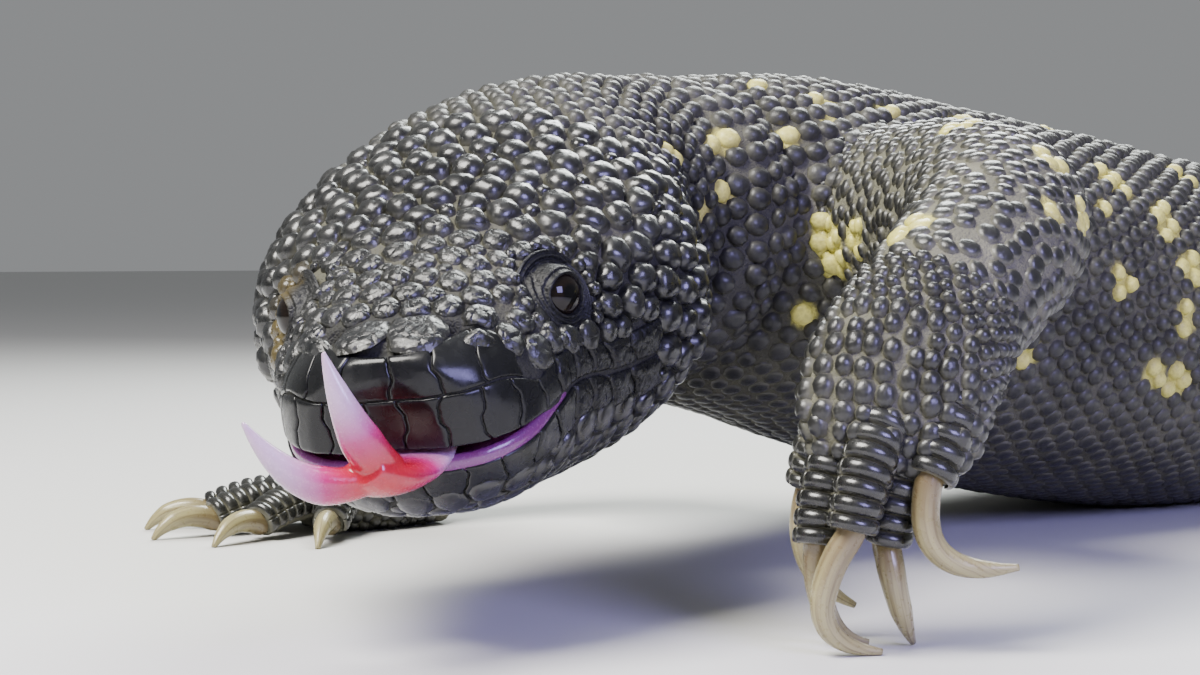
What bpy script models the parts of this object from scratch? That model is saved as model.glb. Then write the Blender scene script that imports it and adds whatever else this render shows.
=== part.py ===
"""A life-size beaded lizard, propped on its forelimbs with its belly and tail on the floor, as closed solids.

The lizard faces -Y, its left side is +X, and its origin lies on the floor under the middle of its box. Shapes
are worked out in millimetres and stored in metres. Every long form is a loft of rings along a path. The beads
of its hide are every third point of the lattice of rings, pushed out.
"""

import math

import bmesh
import bpy
import numpy as np

MM = 0.001

# Driving dimensions, in millimetres
GAP = 0.3  # clear space between parts that touch
BOX_MIDDLE = (-0.2, 212.8)  # the middle of the animal's box, counted from its shoulders
BEAD_HEAD, BEAD_BODY, BEAD_LIMB = 1.25, 1.35, 0.95  # how far beads stand out of the hide
HEAD_LENGTH = 59.5
HEAD_YAW, HEAD_PITCH, HEAD_ROLL = math.radians(32.2), math.radians(22.0), math.radians(5.0)
EYE_RADIUS = 3.9
CHIN_BACK = 2.6  # how far the chin stands behind the upper lip
HEAD_SQUARE, BODY_SQUARE = 2.3, 2.15  # above 2, a cross-section is boxier than an ellipse
EYE_PLACE = (36.5, 14.9, 6.1)  # along the head, to its side and above its axis
EYE_FACING = (0.52, 0.82, 0.24)
LID_RADIUS, LID_THICKNESS, LID_STRETCH, LID_RISE = 3.6, 1.2, 1.2, 2.1
LID_CLEAR = (2.2, 5.0)  # beads start and are full this far from the eyeball
BROW_RISE, BROW_HEIGHT, BROW_HALF_LENGTH, BROW_HALF_WIDTH = 0.9, 9.5, 6.0, 2.6
NOSTRIL_PLACE, NOSTRIL_RADIUS, NOSTRIL_STRETCH = (51.6, 6.8, 9.2), 1.5, (1.2, 1.0, 0.9)
EAR_PLACE, EAR_RADIUS, EAR_STRETCH = (7.0, 27.6, -5.0), 1.6, (0.75, 1.0, 2.2)
MOUTH_OPEN = 3.0  # at the lips
MOUTH_SHUT = 43.0  # along the head, behind which the lips meet
MOUTH_CORNER = 26.0
ANGLE_OF_JAW = [(16.5, -12.2), (10.0, -16.5), (7.0, -40.0)]  # along the head and above its axis
BEYOND_HEAD = {"ahead": 75.0, "behind": -20.0, "below": -40.0, "above": 40.0, "beside": 60.0}
CLAW_RADIUS = 1.8
CLAW_SUNK = 1.2  # how far a claw starts inside its toe

# Ring counts: the points round each form, threes where the form carries beads
HEAD_COUNT, NECK_COUNT, TORSO_COUNT = 45, 33, 30
TAIL_COUNTS = (21, 18, 12)
UPPER_LIMB_COUNT, LOWER_LIMB_COUNT, PALM_COUNT, DIGIT_COUNT, CLAW_COUNT = 18, 15, 10, 6, 5
# The space between rings, in millimetres
HEAD_STEP, NECK_STEP, TORSO_STEP, TAIL_STEP, LIMB_STEP = 2.8, 4.2, 7.2, 5.6, 4.6
HAND_STEP, SOLE_STEP, DIGIT_STEP, TONGUE_STEP = 3.0, 3.6, 3.9, 3.0
SNOUT_KEYS = [53.4, 55.4, 57.0, 58.4, 59.2]  # the last rings along the head, where it rounds off

# Along the head from the nape: half width, height above the axis, depth below it, and the widest line's drop
HEAD_SHAPE = np.array([
    (0.0, 25.5, 16.4, 21.0, 1.0),
    (6.0, 27.6, 15.9, 22.2, 3.0),
    (12.0, 28.8, 15.5, 23.3, 4.2),
    (18.0, 28.2, 15.0, 23.4, 4.6),
    (24.0, 26.0, 14.4, 22.6, 4.6),
    (30.0, 23.2, 13.6, 21.3, 4.4),
    (36.0, 20.4, 12.7, 19.6, 4.0),
    (42.0, 18.2, 11.8, 17.8, 3.4),
    (48.0, 16.4, 10.8, 16.0, 2.6),
    (52.0, 15.1, 10.1, 14.6, 2.0),
    (55.0, 13.5, 9.6, 13.4, 1.6),
    (57.0, 11.6, 9.1, 12.2, 1.2),
    (58.4, 9.2, 8.3, 10.6, 1.0),
    (59.2, 6.0, 6.6, 8.0, 1.0),
])
# Along the head from the corner of the mouth: the height of the upper lip's edge
LIP_LINE = np.array(
    [
        (26.0, -6.5), (29.0, -6.2), (32.0, -5.6), (35.0, -4.8), (38.0, -3.5), (41.0, -2.5), (44.0, -2.1),
        (50.0, -2.4), (60.0, -2.1), (75.0, -1.6),
    ]
)

# Along the body from nape to tail tip: running length, centre x, y, z, half width, height above, depth below
NAPE = (3.6, -58.7, 48.5)
BODY_SHAPE = np.array([
    (0.0, *NAPE, 25.5, 16.4, 21.0),
    (20.0, -3.4, -41.5, 52.6, 23.8, 18.4, 22.6),
    (40.0, -2.6, -22.0, 51.0, 26.2, 21.4, 24.6),
    (62.0, 0.0, 0.0, 47.5, 30.5, 26.4, 26.0),
    (85.0, 0.5, 23.0, 43.4, 33.6, 29.4, 28.0),
    (110.0, 1.5, 48.0, 39.0, 36.6, 31.4, 30.0),
    (140.0, 3.0, 78.0, 35.0, 39.2, 32.5, 31.6),
    (170.0, 4.0, 108.0, 32.0, 40.6, 32.4, 32.5),
    (203.0, 4.5, 141.0, 30.5, 41.0, 31.4, 31.3),
    (235.0, 4.0, 173.0, 29.0, 39.4, 30.0, 29.8),
    (265.0, 2.5, 203.0, 26.5, 36.0, 27.5, 27.2),
    (290.0, 0.5, 228.0, 24.0, 32.0, 25.0, 24.6),
    (312.0, -1.5, 250.0, 21.5, 26.4, 22.4, 22.0),
    (330.0, -2.5, 268.0, 19.7, 21.8, 20.5, 20.2),
    (360.0, -2.0, 298.0, 18.0, 19.2, 18.5, 18.5),
    (400.0, 2.5, 337.0, 16.3, 17.6, 17.0, 16.8),
    (440.0, 12.0, 376.0, 14.8, 16.0, 15.2, 15.3),
    (480.0, 26.0, 413.0, 13.0, 14.2, 13.4, 13.5),
    (520.0, 42.0, 450.0, 10.8, 12.0, 11.2, 11.2),
    (560.0, 55.0, 488.0, 8.3, 9.2, 8.5, 8.7),
    (590.0, 60.0, 517.0, 6.1, 6.6, 6.1, 6.4),
    (612.0, 60.0, 539.0, 4.2, 4.4, 4.1, 4.4),
    (621.0, 59.3, 548.0, 2.9, 2.5, 2.4, 2.9),
])
NECK_END, TORSO_END, TAIL_BASE_END, TAIL_MIDDLE_END, TAIL_END = 48.0, 312.0, 410.0, 515.0, 621.0

# Limb paths from inside the body into the foot: running length, x, y, z, half width, height, depth
LIMB_SHAPES = {
    "fore_left": np.array([
        (0.0, 9.0, 4.0, 48.5, 15.0, 15.5, 15.5),
        (20.0, 28.0, 0.5, 50.0, 15.0, 15.0, 15.0),
        (38.0, 45.0, -8.0, 51.5, 14.0, 13.6, 13.6),
        (52.0, 56.0, -17.5, 50.5, 12.4, 12.0, 12.0),
        (65.0, 62.0, -29.0, 46.5, 11.4, 10.8, 10.8),
        (79.0, 64.8, -41.0, 41.2, 10.4, 9.6, 9.6),
        (83.5, 65.2, -44.6, 39.1, 10.2, 9.2, 9.2),
    ]),
    "fore_right": np.array([
        (0.0, -9.0, 5.0, 47.5, 15.0, 15.5, 15.5),
        (20.0, -28.0, 7.0, 47.0, 15.0, 15.0, 15.0),
        (38.0, -46.0, 13.0, 44.5, 13.8, 13.2, 13.2),
        (52.0, -58.5, 15.5, 38.0, 12.2, 11.6, 11.6),
        (66.0, -66.0, 9.0, 28.0, 11.2, 10.4, 10.4),
        (80.0, -69.5, -0.5, 18.0, 10.2, 9.0, 9.0),
        (92.0, -71.0, -9.0, 9.5, 9.2, 7.0, 7.0),
    ]),
    "hind_left": np.array([
        (0.0, 9.0, 229.0, 27.0, 16.5, 16.5, 16.5),
        (20.0, 28.0, 225.0, 29.5, 16.5, 16.0, 16.0),
        (40.0, 47.0, 216.0, 32.5, 15.6, 15.0, 15.0),
        (57.0, 62.0, 210.0, 32.0, 13.6, 13.0, 13.0),
        (72.0, 73.0, 214.0, 24.5, 11.8, 11.0, 11.0),
        (85.0, 79.5, 220.0, 15.5, 10.2, 9.2, 9.2),
        (95.0, 83.0, 224.0, 8.5, 9.0, 7.0, 7.0),
    ]),
    "hind_right": np.array([
        (0.0, -9.0, 228.0, 27.0, 16.5, 16.5, 16.5),
        (20.0, -27.5, 227.0, 29.0, 16.5, 16.0, 16.0),
        (40.0, -47.5, 225.0, 31.5, 15.6, 15.0, 15.0),
        (57.0, -63.0, 224.5, 29.5, 13.6, 13.0, 13.0),
        (72.0, -73.0, 231.0, 22.0, 11.8, 11.0, 11.0),
        (85.0, -79.0, 238.5, 14.0, 10.2, 9.2, 9.2),
        (95.0, -82.0, 243.0, 8.0, 9.0, 7.0, 7.0),
    ]),
}
LIMB_JOINTS = {"fore_left": 52.0, "fore_right": 52.0, "hind_left": 57.0, "hind_right": 57.0}
LIMB_ROOT_REACH = 30.0  # along the limb, where it leaves the body
LIMB_ROOT_CLEAR = (1.0, 5.0)  # the body's beads start and are full this far from a limb's root
LIMB_TILT = 0.35  # how much a limb's cross-sections lean up
SLIM_TAIL = (380.0, 540.0)  # along Y, where the tail's beads start and end their shrinking
SLIM_SHARE = 0.35  # of a bead's full height, at the tail's tip

# The hand that hangs in view: its digits and claws from knuckle to claw tip
HAND_SIDE = (0.73, 0.68, 0.0)
HAND_PALM = np.array([
    (0.0, 65.2, -44.9, 38.9, 10.2, 9.2, 9.2),
    (5.0, 65.7, -48.6, 36.4, 10.6, 8.8, 8.6),
    (11.0, 66.3, -52.8, 33.2, 10.9, 7.8, 7.4),
    (17.0, 66.9, -56.2, 28.6, 10.8, 5.9, 5.9),
    (22.0, 67.0, -58.0, 24.2, 9.6, 4.4, 4.4),
    (25.0, 67.0, -58.8, 21.6, 7.0, 3.0, 3.0),
])
HAND_DIGITS = [  # base, bend, tip, claw bend, claw tip
    ((61.2, -55.0, 30.0), (57.0, -57.5, 25.5), (55.7, -57.6, 18.6), (53.6, -60.0, 8.0), (59.6, -53.6, 4.0)),
    ((63.6, -56.6, 29.0), (61.6, -62.5, 22.5), (61.8, -64.2, 12.6), (59.4, -62.0, 1.0), (64.0, -57.0, 0.4)),
    ((67.6, -56.2, 29.5), (68.5, -63.6, 24.5), (67.4, -65.2, 14.8), (61.6, -71.0, 1.6), (69.1, -61.5, 0.4)),
    ((69.4, -52.8, 29.5), (69.0, -57.5, 22.0), (66.6, -57.2, 12.9), (69.4, -59.0, 5.4), (67.9, -53.4, 0.4)),
    ((70.2, -49.6, 31.5), (74.4, -52.0, 30.4), (72.9, -57.4, 20.6), (71.6, -60.6, 8.6), (80.6, -50.4, 10.2)),
]
# The other feet rest flat: ankle, heading in degrees from -Y towards +X, and the inner toe's side
PLANTED = {
    "fore_right": ((-71.0, -10.0), -18.0, 1.0, (15.0, 18.5, 20.0, 18.5, 14.0)),
    "hind_left": ((83.5, 223.0), 52.0, -1.0, (14.0, 19.0, 22.5, 23.0, 16.0)),
    "hind_right": ((-82.5, 242.0), -58.0, 1.0, (14.0, 19.0, 22.5, 23.0, 16.0)),
}
PALM_LENGTH, PALM_HALF_WIDTH, PALM_HALF_HEIGHT = 22.0, 10.5, 5.2
PALM_PROFILE = (
    (-0.32, 0.55, 0.62), (-0.12, 0.78, 1.0), (0.2, 0.92, 1.02), (0.5, 1.0, 0.86), (0.68, 0.8, 0.62),
)
FLAT = 0.35  # how deep the sole is cut by the floor
TOE_FAN = (-56.0, -27.0, -3.0, 21.0, 52.0)  # each toe's heading from the foot's, inner toe first
TOE_RADIUS = 3.1
TOE_FAN_START = 0.3  # along the palm, where the toes' headings meet
TOE_ROOT = 5.5  # from there to where a toe's length is counted
KNUCKLE_AHEAD, KNUCKLE_UP = 4.0, 4.3
ARCH_SHARE, ARCH_UP, TOE_TIP_UP = 0.6, 7.0, 2.8
CLAW_BEND, CLAW_POINT = (7.0, 2.4), (11.0, -2.75)  # ahead of and above the toe's tip
BAND_SWELL = 1.14  # every other ring of a toe against the next
FOOT_NAMES = {
    "fore_left": ("upper_arm_left", "forearm_left", "hand_left"),
    "fore_right": ("upper_arm_right", "forearm_right", "hand_right"),
    "hind_left": ("thigh_left", "shin_left", "foot_left"),
    "hind_right": ("thigh_right", "shin_right", "foot_right"),
}

# The tongue on the head's own axes: running length, along, side, above, half width, thickness above and below
TONGUE_BODY = np.array([
    (0.0, 51.0, 1.8, -3.2, 4.0, 0.42, 0.42),
    (4.0, 55.0, 1.95, -3.35, 4.4, 0.62, 0.62),
    (7.5, 58.5, 2.0, -3.5, 4.5, 0.85, 0.85),
    (12.0, 63.0, 1.4, -3.1, 4.4, 1.6, 1.6),
    (16.5, 67.2, 0.2, -1.4, 3.9, 2.3, 2.0),
    (19.5, 69.4, -0.8, 0.6, 2.8, 1.9, 1.6),
])
TONGUE_TINES = (
    ((66.8, 0.9, -0.6), (70.8, -0.6, 5.0), (67.6, -2.9, 14.4)),
    ((67.0, -0.6, -0.9), (72.2, -7.2, -2.6), (69.4, -13.0, 7.6)),
)
TINE_RADIUS = 2.6

SKIN_BLACK = ("hide", (0.035, 0.037, 0.045), 0.32)
THROAT_BLACK = ("throat", (0.03, 0.03, 0.036), 0.4)
CLAW_HORN = ("claw_horn", (0.66, 0.58, 0.44), 0.35)
EYE_BLACK = ("eye", (0.012, 0.01, 0.014), 0.06)
TONGUE_PINK = ("tongue_flesh", (0.85, 0.32, 0.34), 0.3)


def clear_scene():
    for obj in list(bpy.data.objects):
        bpy.data.objects.remove(obj)


def collection(name):
    made = bpy.data.collections.new(name)
    bpy.context.scene.collection.children.link(made)
    return made


def material(name, colour, roughness):
    found = bpy.data.materials.get(name)
    if found:
        return found
    made = bpy.data.materials.new(name)
    made.use_nodes = True
    shader = made.node_tree.nodes["Principled BSDF"]
    shader.inputs["Base Color"].default_value = (*colour, 1.0)
    shader.inputs["Roughness"].default_value = roughness
    shader.inputs["Metallic"].default_value = 0.0
    return made


def unit(vector):
    vector = np.asarray(vector, float)
    return vector / np.linalg.norm(vector)


def smooth_step(value, low, high):
    """0 below low, 1 above high and a smooth rise between."""
    share = np.clip((value - low) / (high - low), 0.0, 1.0)
    return share * share * (3.0 - 2.0 * share)


def read_shape(shape, key, first_slope=None):
    """A shape's smooth curve at key, and its slope there. first_slope sets how it sets off."""
    keys, values = shape[:, 0], shape[:, 1:]
    slopes = np.gradient(values, keys, axis=0)
    if first_slope is not None:
        slopes[0, :3] = first_slope
    row = int(np.clip(np.searchsorted(keys, key) - 1, 0, len(keys) - 2))
    step = keys[row + 1] - keys[row]
    u = (key - keys[row]) / step
    near, far = values[row], values[row + 1]
    near_slope, far_slope = slopes[row] * step, slopes[row + 1] * step
    value = (
        (2 * u**3 - 3 * u**2 + 1) * near + (u**3 - 2 * u**2 + u) * near_slope
        + (3 * u**2 - 2 * u**3) * far + (u**3 - u**2) * far_slope
    )
    slope = (
        (6 * u**2 - 6 * u) * (near - far)
        + (3 * u**2 - 4 * u + 1) * near_slope + (3 * u**2 - 2 * u) * far_slope
    ) / step
    return value, slope


def head_axes():
    """The head's forward, left and up directions."""
    level = math.cos(HEAD_PITCH)
    forward = np.array([math.sin(HEAD_YAW) * level, -math.cos(HEAD_YAW) * level, -math.sin(HEAD_PITCH)])
    left = np.array([math.cos(HEAD_YAW), math.sin(HEAD_YAW), 0.0])
    left = left * math.cos(HEAD_ROLL) + np.cross(forward, left) * math.sin(HEAD_ROLL)
    return forward, left, np.cross(forward, left)


HEAD_FORWARD, HEAD_LEFT, HEAD_UP = head_axes()


def from_head(along, side, above):
    """A point given along the head's own axes, in the body's."""
    return np.array(NAPE) + HEAD_FORWARD * along + HEAD_LEFT * side + HEAD_UP * above


def ring(centre, forward, left, sizes, count, turned, square):
    """One cross-section: its points and the way each faces. A square above 2 makes it boxy."""
    half, top, bottom = sizes
    up = unit(np.cross(forward, left))
    left = np.cross(up, forward)
    angles = 2 * math.pi * (np.arange(count) + (0.5 if turned else 0.0)) / count
    across, above = np.cos(angles), np.sin(angles)
    power = 2.0 / square
    wide = np.sign(across) * np.abs(across) ** power
    tall = np.sign(above) * np.abs(above) ** power
    height = np.where(above > 0, top, bottom)
    points = centre + np.outer(wide * half, left) + np.outer(tall * height, up)
    facing = np.outer(across / half, left) + np.outer(above / height, up)
    return points, facing / np.linalg.norm(facing, axis=1)[:, None]


def is_bead(row, column, count):
    """Every third point of the staggered lattice, so that a bead's six neighbours all lie low."""
    return (column - row // 2 - row) % 3 == 0 and count % 3 == 0


def raise_beads(rings, facings, height, plain=1):
    """Pushes each bead's point out by height(point, facing), save on the plain rings at each end."""
    for row in range(plain, len(rings) - plain):
        count = len(rings[row])
        for column in range(count):
            if is_bead(row, column, count):
                point, facing = rings[row][column], facings[row][column]
                rings[row][column] = point + facing * height(point, facing)


def loft(name, rings, paint, group, on_floor=False, tips=(None, None)):
    """A closed mesh through rings of equal count, each turned half a step, with a fan at each end."""
    count = len(rings[0])
    points = np.concatenate(rings)
    ends = [rim.mean(axis=0) if tip is None else tip for rim, tip in zip((rings[0], rings[-1]), tips)]
    points = np.concatenate([points, ends])
    if on_floor:
        points[:, 2] = np.maximum(points[:, 2], 0.0)
    faces = []
    for row in range(len(rings) - 1):
        near, far, lead = row * count, (row + 1) * count, row % 2
        for column in range(count):
            after = (column + 1) % count
            if lead:
                faces.append((near + column, far + after, far + column))
                faces.append((near + column, near + after, far + after))
            else:
                faces.append((near + column, near + after, far + column))
                faces.append((near + after, far + after, far + column))
    last = (len(rings) - 1) * count
    for column in range(count):
        after = (column + 1) % count
        faces.append((len(points) - 2, after, column))
        faces.append((len(points) - 1, last + column, last + after))
    return mesh_object(name, points, faces, paint, group)


def mesh_object(name, points, faces, paint, group):
    mesh = bpy.data.meshes.new(name)
    mesh.from_pydata([tuple(point * MM) for point in np.asarray(points)], [], faces)
    work = bmesh.new()
    work.from_mesh(mesh)
    bmesh.ops.recalc_face_normals(work, faces=work.faces)
    if work.calc_volume(signed=True) < 0:
        bmesh.ops.reverse_faces(work, faces=work.faces)
    work.to_mesh(mesh)
    work.free()
    mesh.materials.append(material(*paint))
    obj = bpy.data.objects.new(name, mesh)
    group.objects.link(obj)
    return obj


def spaced(first, last, step):
    """Evenly spaced keys from first to last, about step apart."""
    return np.linspace(first, last, max(3, int(round((last - first) / step)) + 1))


def tube_rings(shape, keys, count, side, grow=0.0, square=2.0, backwards=False, first_slope=None):
    """Rings along a shape's path. side points roughly left. A backwards path runs from head to tail."""
    rings, facings = [], []
    for row, key in enumerate(keys):
        value, slope = read_shape(shape, key, first_slope)
        forward = unit(slope[:3]) * (-1.0 if backwards else 1.0)
        left = side(key) if callable(side) else np.asarray(side, float)
        left = unit(left - forward * (left @ forward))
        points, facing = ring(value[:3], forward, left, value[3:] + grow, count, row % 2, square)
        rings.append(points)
        facings.append(facing)
    return rings, facings


def body_side(key):
    """The body's left, rolled with the head at the nape and level from the shoulders on."""
    slope = read_shape(BODY_SHAPE, key, -HEAD_FORWARD)[1][:3]
    level = unit(np.cross((0.0, 0.0, 1.0), -slope))
    share = 1.0 - float(smooth_step(key, 0.0, BODY_SHAPE[3, 0]))
    return level * (1.0 - share) + HEAD_LEFT * share


def body_rings(keys, count, grow=0.0):
    return tube_rings(BODY_SHAPE, keys, count, body_side, grow, BODY_SQUARE, True, -HEAD_FORWARD)


def limb_roots():
    """Where each limb's path starts and where it leaves the body, with its radius there."""
    roots = []
    for shape in LIMB_SHAPES.values():
        near = read_shape(shape, 0.0)[0]
        far = read_shape(shape, LIMB_ROOT_REACH)[0]
        roots.append((near[:3], far[:3], far[3]))
    return roots


def body_bead_height(point, facing):
    """Beads cover the back and flanks, fade out on the belly and leave the limbs' roots smooth."""
    height = BEAD_BODY * float(smooth_step(facing[2], -0.55, -0.1))
    for near, far, radius in limb_roots():
        axis = far - near
        share = float(np.clip((point - near) @ axis / (axis @ axis), 0.0, 1.0))
        off = np.linalg.norm(point - near - axis * share)
        height *= float(smooth_step(off, radius + LIMB_ROOT_CLEAR[0], radius + LIMB_ROOT_CLEAR[1]))
    return height * (1.0 - (1.0 - SLIM_SHARE) * float(smooth_step(point[1], *SLIM_TAIL)))


def body_part(name, first, last, count, step, group):
    rings, facings = body_rings(spaced(first, last, step), count)
    raise_beads(rings, facings, body_bead_height)
    return loft(name, rings, SKIN_BLACK, group, on_floor=True)


def lip_height(along):
    return float(np.interp(along, LIP_LINE[:, 0], LIP_LINE[:, 1]))


def mouth_gap(along):
    """The open mouth's height: a hairline where the lips meet and MOUTH_OPEN at the snout."""
    share = (along - MOUTH_SHUT) / (HEAD_LENGTH - MOUTH_SHUT)
    return GAP + (MOUTH_OPEN - GAP) * float(np.clip(share, 0.0, 1.0))


def head_bead_height(point, facing):
    """Beads cover the crown, cheeks and temples. Lips, chin and the skin round the eyes stay smooth."""
    along, side, above = (point - np.array(NAPE)) @ np.array([HEAD_FORWARD, HEAD_LEFT, HEAD_UP]).T
    height = BEAD_HEAD * (1.0 - float(smooth_step(along, 46.0, 56.0)))
    over_lip = float(smooth_step(above - lip_height(along), 3.0, 6.0))
    cheek = float(smooth_step(MOUTH_CORNER - along, 1.0, 5.0) * smooth_step(above, -16.0, -9.0))
    from_eye = math.dist((along, abs(side), above), EYE_PLACE)
    clear = float(smooth_step(from_eye, EYE_RADIUS + LID_CLEAR[0], EYE_RADIUS + LID_CLEAR[1]))
    return height * max(over_lip, cheek) * clear


def head_rings():
    """The head's rings from nape to snout. The chin is set back from the upper lip."""
    keys = np.concatenate([spaced(0.0, 51.0, HEAD_STEP), SNOUT_KEYS])
    rings, facings = [], []
    for row, key in enumerate(keys):
        half, top, bottom, drop = read_shape(HEAD_SHAPE, key)[0]
        sizes, centre = (half, top + drop, bottom - drop), from_head(key, 0.0, -drop)
        points, facing = ring(centre, HEAD_FORWARD, HEAD_LEFT, sizes, HEAD_COUNT, row % 2, HEAD_SQUARE)
        above = (points - np.array(NAPE)) @ HEAD_UP
        set_back = CHIN_BACK * smooth_step(-above, 3.0, 12.0) * smooth_step(key, 46.0, 58.0)
        ahead, over = (key - EYE_PLACE[0]) / BROW_HALF_LENGTH, (above - BROW_HEIGHT) / BROW_HALF_WIDTH
        brow = BROW_RISE * np.exp(-(ahead**2) - over**2)
        rings.append(points - np.outer(set_back, HEAD_FORWARD) + facing * brow[:, None])
        facings.append(facing)
    return rings, facings


def outline_cutter(name, outline, group):
    """A prism across the head whose side view is the outline, in heights over the head's axis."""
    reach, count = BEYOND_HEAD["beside"], len(outline)
    points = [from_head(along, side, above) for side in (-reach, reach) for along, above in outline]
    faces = [tuple(range(count)), tuple(range(2 * count - 1, count - 1, -1))]
    faces += [(i, (i + 1) % count, (i + 1) % count + count, i + count) for i in range(count)]
    return mesh_object(name, points, faces, THROAT_BLACK, group)


def carve(obj, cutter, operation="DIFFERENCE"):
    """Applies a Boolean by MANIFOLD and keeps the largest closed surface."""
    modifier = obj.modifiers.new(operation.lower(), "BOOLEAN")
    modifier.operation = operation
    modifier.solver = "MANIFOLD"
    modifier.object = cutter
    apply_modifiers(obj)


def apply_modifiers(obj):
    graph = bpy.context.evaluated_depsgraph_get()
    mesh = bpy.data.meshes.new_from_object(obj.evaluated_get(graph))
    obj.modifiers.clear()
    obj.data = mesh
    keep_largest(mesh)


def keep_largest(mesh):
    work = bmesh.new()
    work.from_mesh(mesh)
    bmesh.ops.triangulate(work, faces=work.faces)
    seen, groups = set(), []
    for start in work.faces:
        if start in seen:
            continue
        stack, members = [start], []
        seen.add(start)
        while stack:
            face = stack.pop()
            members.append(face)
            for edge in face.edges:
                for other in edge.link_faces:
                    if other not in seen:
                        seen.add(other)
                        stack.append(other)
        groups.append(members)
    groups.sort(key=lambda members: -sum(face.calc_area() for face in members))
    for members in groups[1:]:
        bmesh.ops.delete(work, geom=members, context="FACES")
    loose = [vert for vert in work.verts if not vert.link_faces]
    bmesh.ops.delete(work, geom=loose, context="VERTS")
    work.to_mesh(mesh)
    work.free()


def fuse(name, pieces, group):
    """Joins a node's closed pieces into its first one by a single Boolean union on a collection."""
    base, others = pieces[0], pieces[1:]
    joined = collection(name + "_pieces")
    for piece in others:
        group.objects.unlink(piece)
        joined.objects.link(piece)
    modifier = base.modifiers.new("fuse", "BOOLEAN")
    modifier.operation = "UNION"
    modifier.operand_type = "COLLECTION"
    modifier.collection = joined
    modifier.solver = "MANIFOLD"
    apply_modifiers(base)
    for piece in others:
        bpy.data.objects.remove(piece)
    bpy.data.collections.remove(joined)
    base.name = name
    return base


def eye_lids(side, group):
    """A raised ring round the eye, longer than it is high, facing out of the head."""
    out = unit(HEAD_LEFT * side * EYE_FACING[1] + HEAD_UP * EYE_FACING[2] + HEAD_FORWARD * EYE_FACING[0])
    centre = from_head(EYE_PLACE[0], side * EYE_PLACE[1], EYE_PLACE[2]) + out * LID_RISE
    along = unit(HEAD_FORWARD - out * (HEAD_FORWARD @ out))
    across = np.cross(out, along)
    around, section = 14, 6
    points, faces = [], []
    for i in range(around):
        turn = 2 * math.pi * i / around
        radial = along * math.cos(turn) * LID_STRETCH + across * math.sin(turn)
        for j in range(section):
            lean = 2 * math.pi * j / section
            rise = out * LID_THICKNESS * math.sin(lean)
            points.append(centre + radial * (LID_RADIUS + LID_THICKNESS * math.cos(lean)) + rise)
            after, beside = (i + 1) % around, (j + 1) % section
            corners = (i, j), (after, j), (after, beside), (i, beside)
            faces.append(tuple(row * section + column for row, column in corners))
    return mesh_object("lids", points, faces, SKIN_BLACK, group)


def ball(name, centre, radius, paint, group, scale=(1.0, 1.0, 1.0), segments=12, rings=8):
    """A closed ball, stretched along the head's forward, left and up directions."""
    work = bmesh.new()
    bmesh.ops.create_uvsphere(work, u_segments=segments, v_segments=rings, radius=radius)
    mesh = bpy.data.meshes.new(name)
    for vert in work.verts:
        local = np.array(vert.co) * np.array(scale)
        vert.co = tuple((centre + HEAD_FORWARD * local[0] + HEAD_LEFT * local[1] + HEAD_UP * local[2]) * MM)
    bmesh.ops.recalc_face_normals(work, faces=work.faces)
    work.to_mesh(mesh)
    work.free()
    mesh.materials.append(material(*paint))
    obj = bpy.data.objects.new(name, mesh)
    group.objects.link(obj)
    return obj


def remove_all(cutters):
    for cutter in cutters:
        bpy.data.objects.remove(cutter)


def make_head(parts, cutters):
    """The head and lower jaw: one loft, parted along the mouth, with lids, eye sockets, nostrils and ears."""
    rings, facings = head_rings()
    raise_beads(rings, facings, head_bead_height)
    tip = from_head(HEAD_LENGTH, 0.0, 0.4)
    head = loft("head", rings, SKIN_BLACK, parts, tips=(None, tip))
    jaw = loft("jaw", rings, THROAT_BLACK, parts, tips=(None, tip))
    ahead, behind, below, above = (BEYOND_HEAD[way] for way in ("ahead", "behind", "below", "above"))
    alongs = [ahead, *np.linspace(HEAD_LENGTH, MOUTH_CORNER, 12)]
    upper = [(along, lip_height(along)) for along in alongs]
    lower = [(along, lip_height(along) - mouth_gap(along)) for along in alongs]
    under_lip = upper + ANGLE_OF_JAW + [(ahead, below)]
    carve(head, outline_cutter("mouth_upper", under_lip, cutters))
    over_jaw = lower + [(along + GAP, height - GAP / 2) for along, height in ANGLE_OF_JAW]
    over_jaw += [(behind, below), (behind, above), (ahead, above)]
    carve(jaw, outline_cutter("mouth_lower", over_jaw, cutters))
    head = fuse("head", [head, eye_lids(1, parts), eye_lids(-1, parts)], parts)
    for side in (1, -1):
        eye = from_head(EYE_PLACE[0], side * EYE_PLACE[1], EYE_PLACE[2])
        nostril = from_head(NOSTRIL_PLACE[0], side * NOSTRIL_PLACE[1], NOSTRIL_PLACE[2])
        ear = from_head(EAR_PLACE[0], side * EAR_PLACE[1], EAR_PLACE[2])
        carve(head, ball("socket", eye, EYE_RADIUS + GAP, SKIN_BLACK, cutters))
        carve(head, ball("nostril", nostril, NOSTRIL_RADIUS, SKIN_BLACK, cutters, NOSTRIL_STRETCH, 8, 6))
        carve(head, ball("ear", ear, EAR_RADIUS, SKIN_BLACK, cutters, EAR_STRETCH, 8, 6))
        name = "eye_left" if side > 0 else "eye_right"
        ball(name, eye, EYE_RADIUS, EYE_BLACK, parts)
    remove_all(list(cutters.objects))


def bend_points(first, bend, last, count):
    """A curve that leaves first, is drawn towards bend and ends at last."""
    first, bend, last = (np.array(point, float) for point in (first, bend, last))
    share = np.linspace(0.0, 1.0, count)[:, None]
    return (1 - share) ** 2 * first + 2 * share * (1 - share) * bend + share**2 * last


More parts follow.
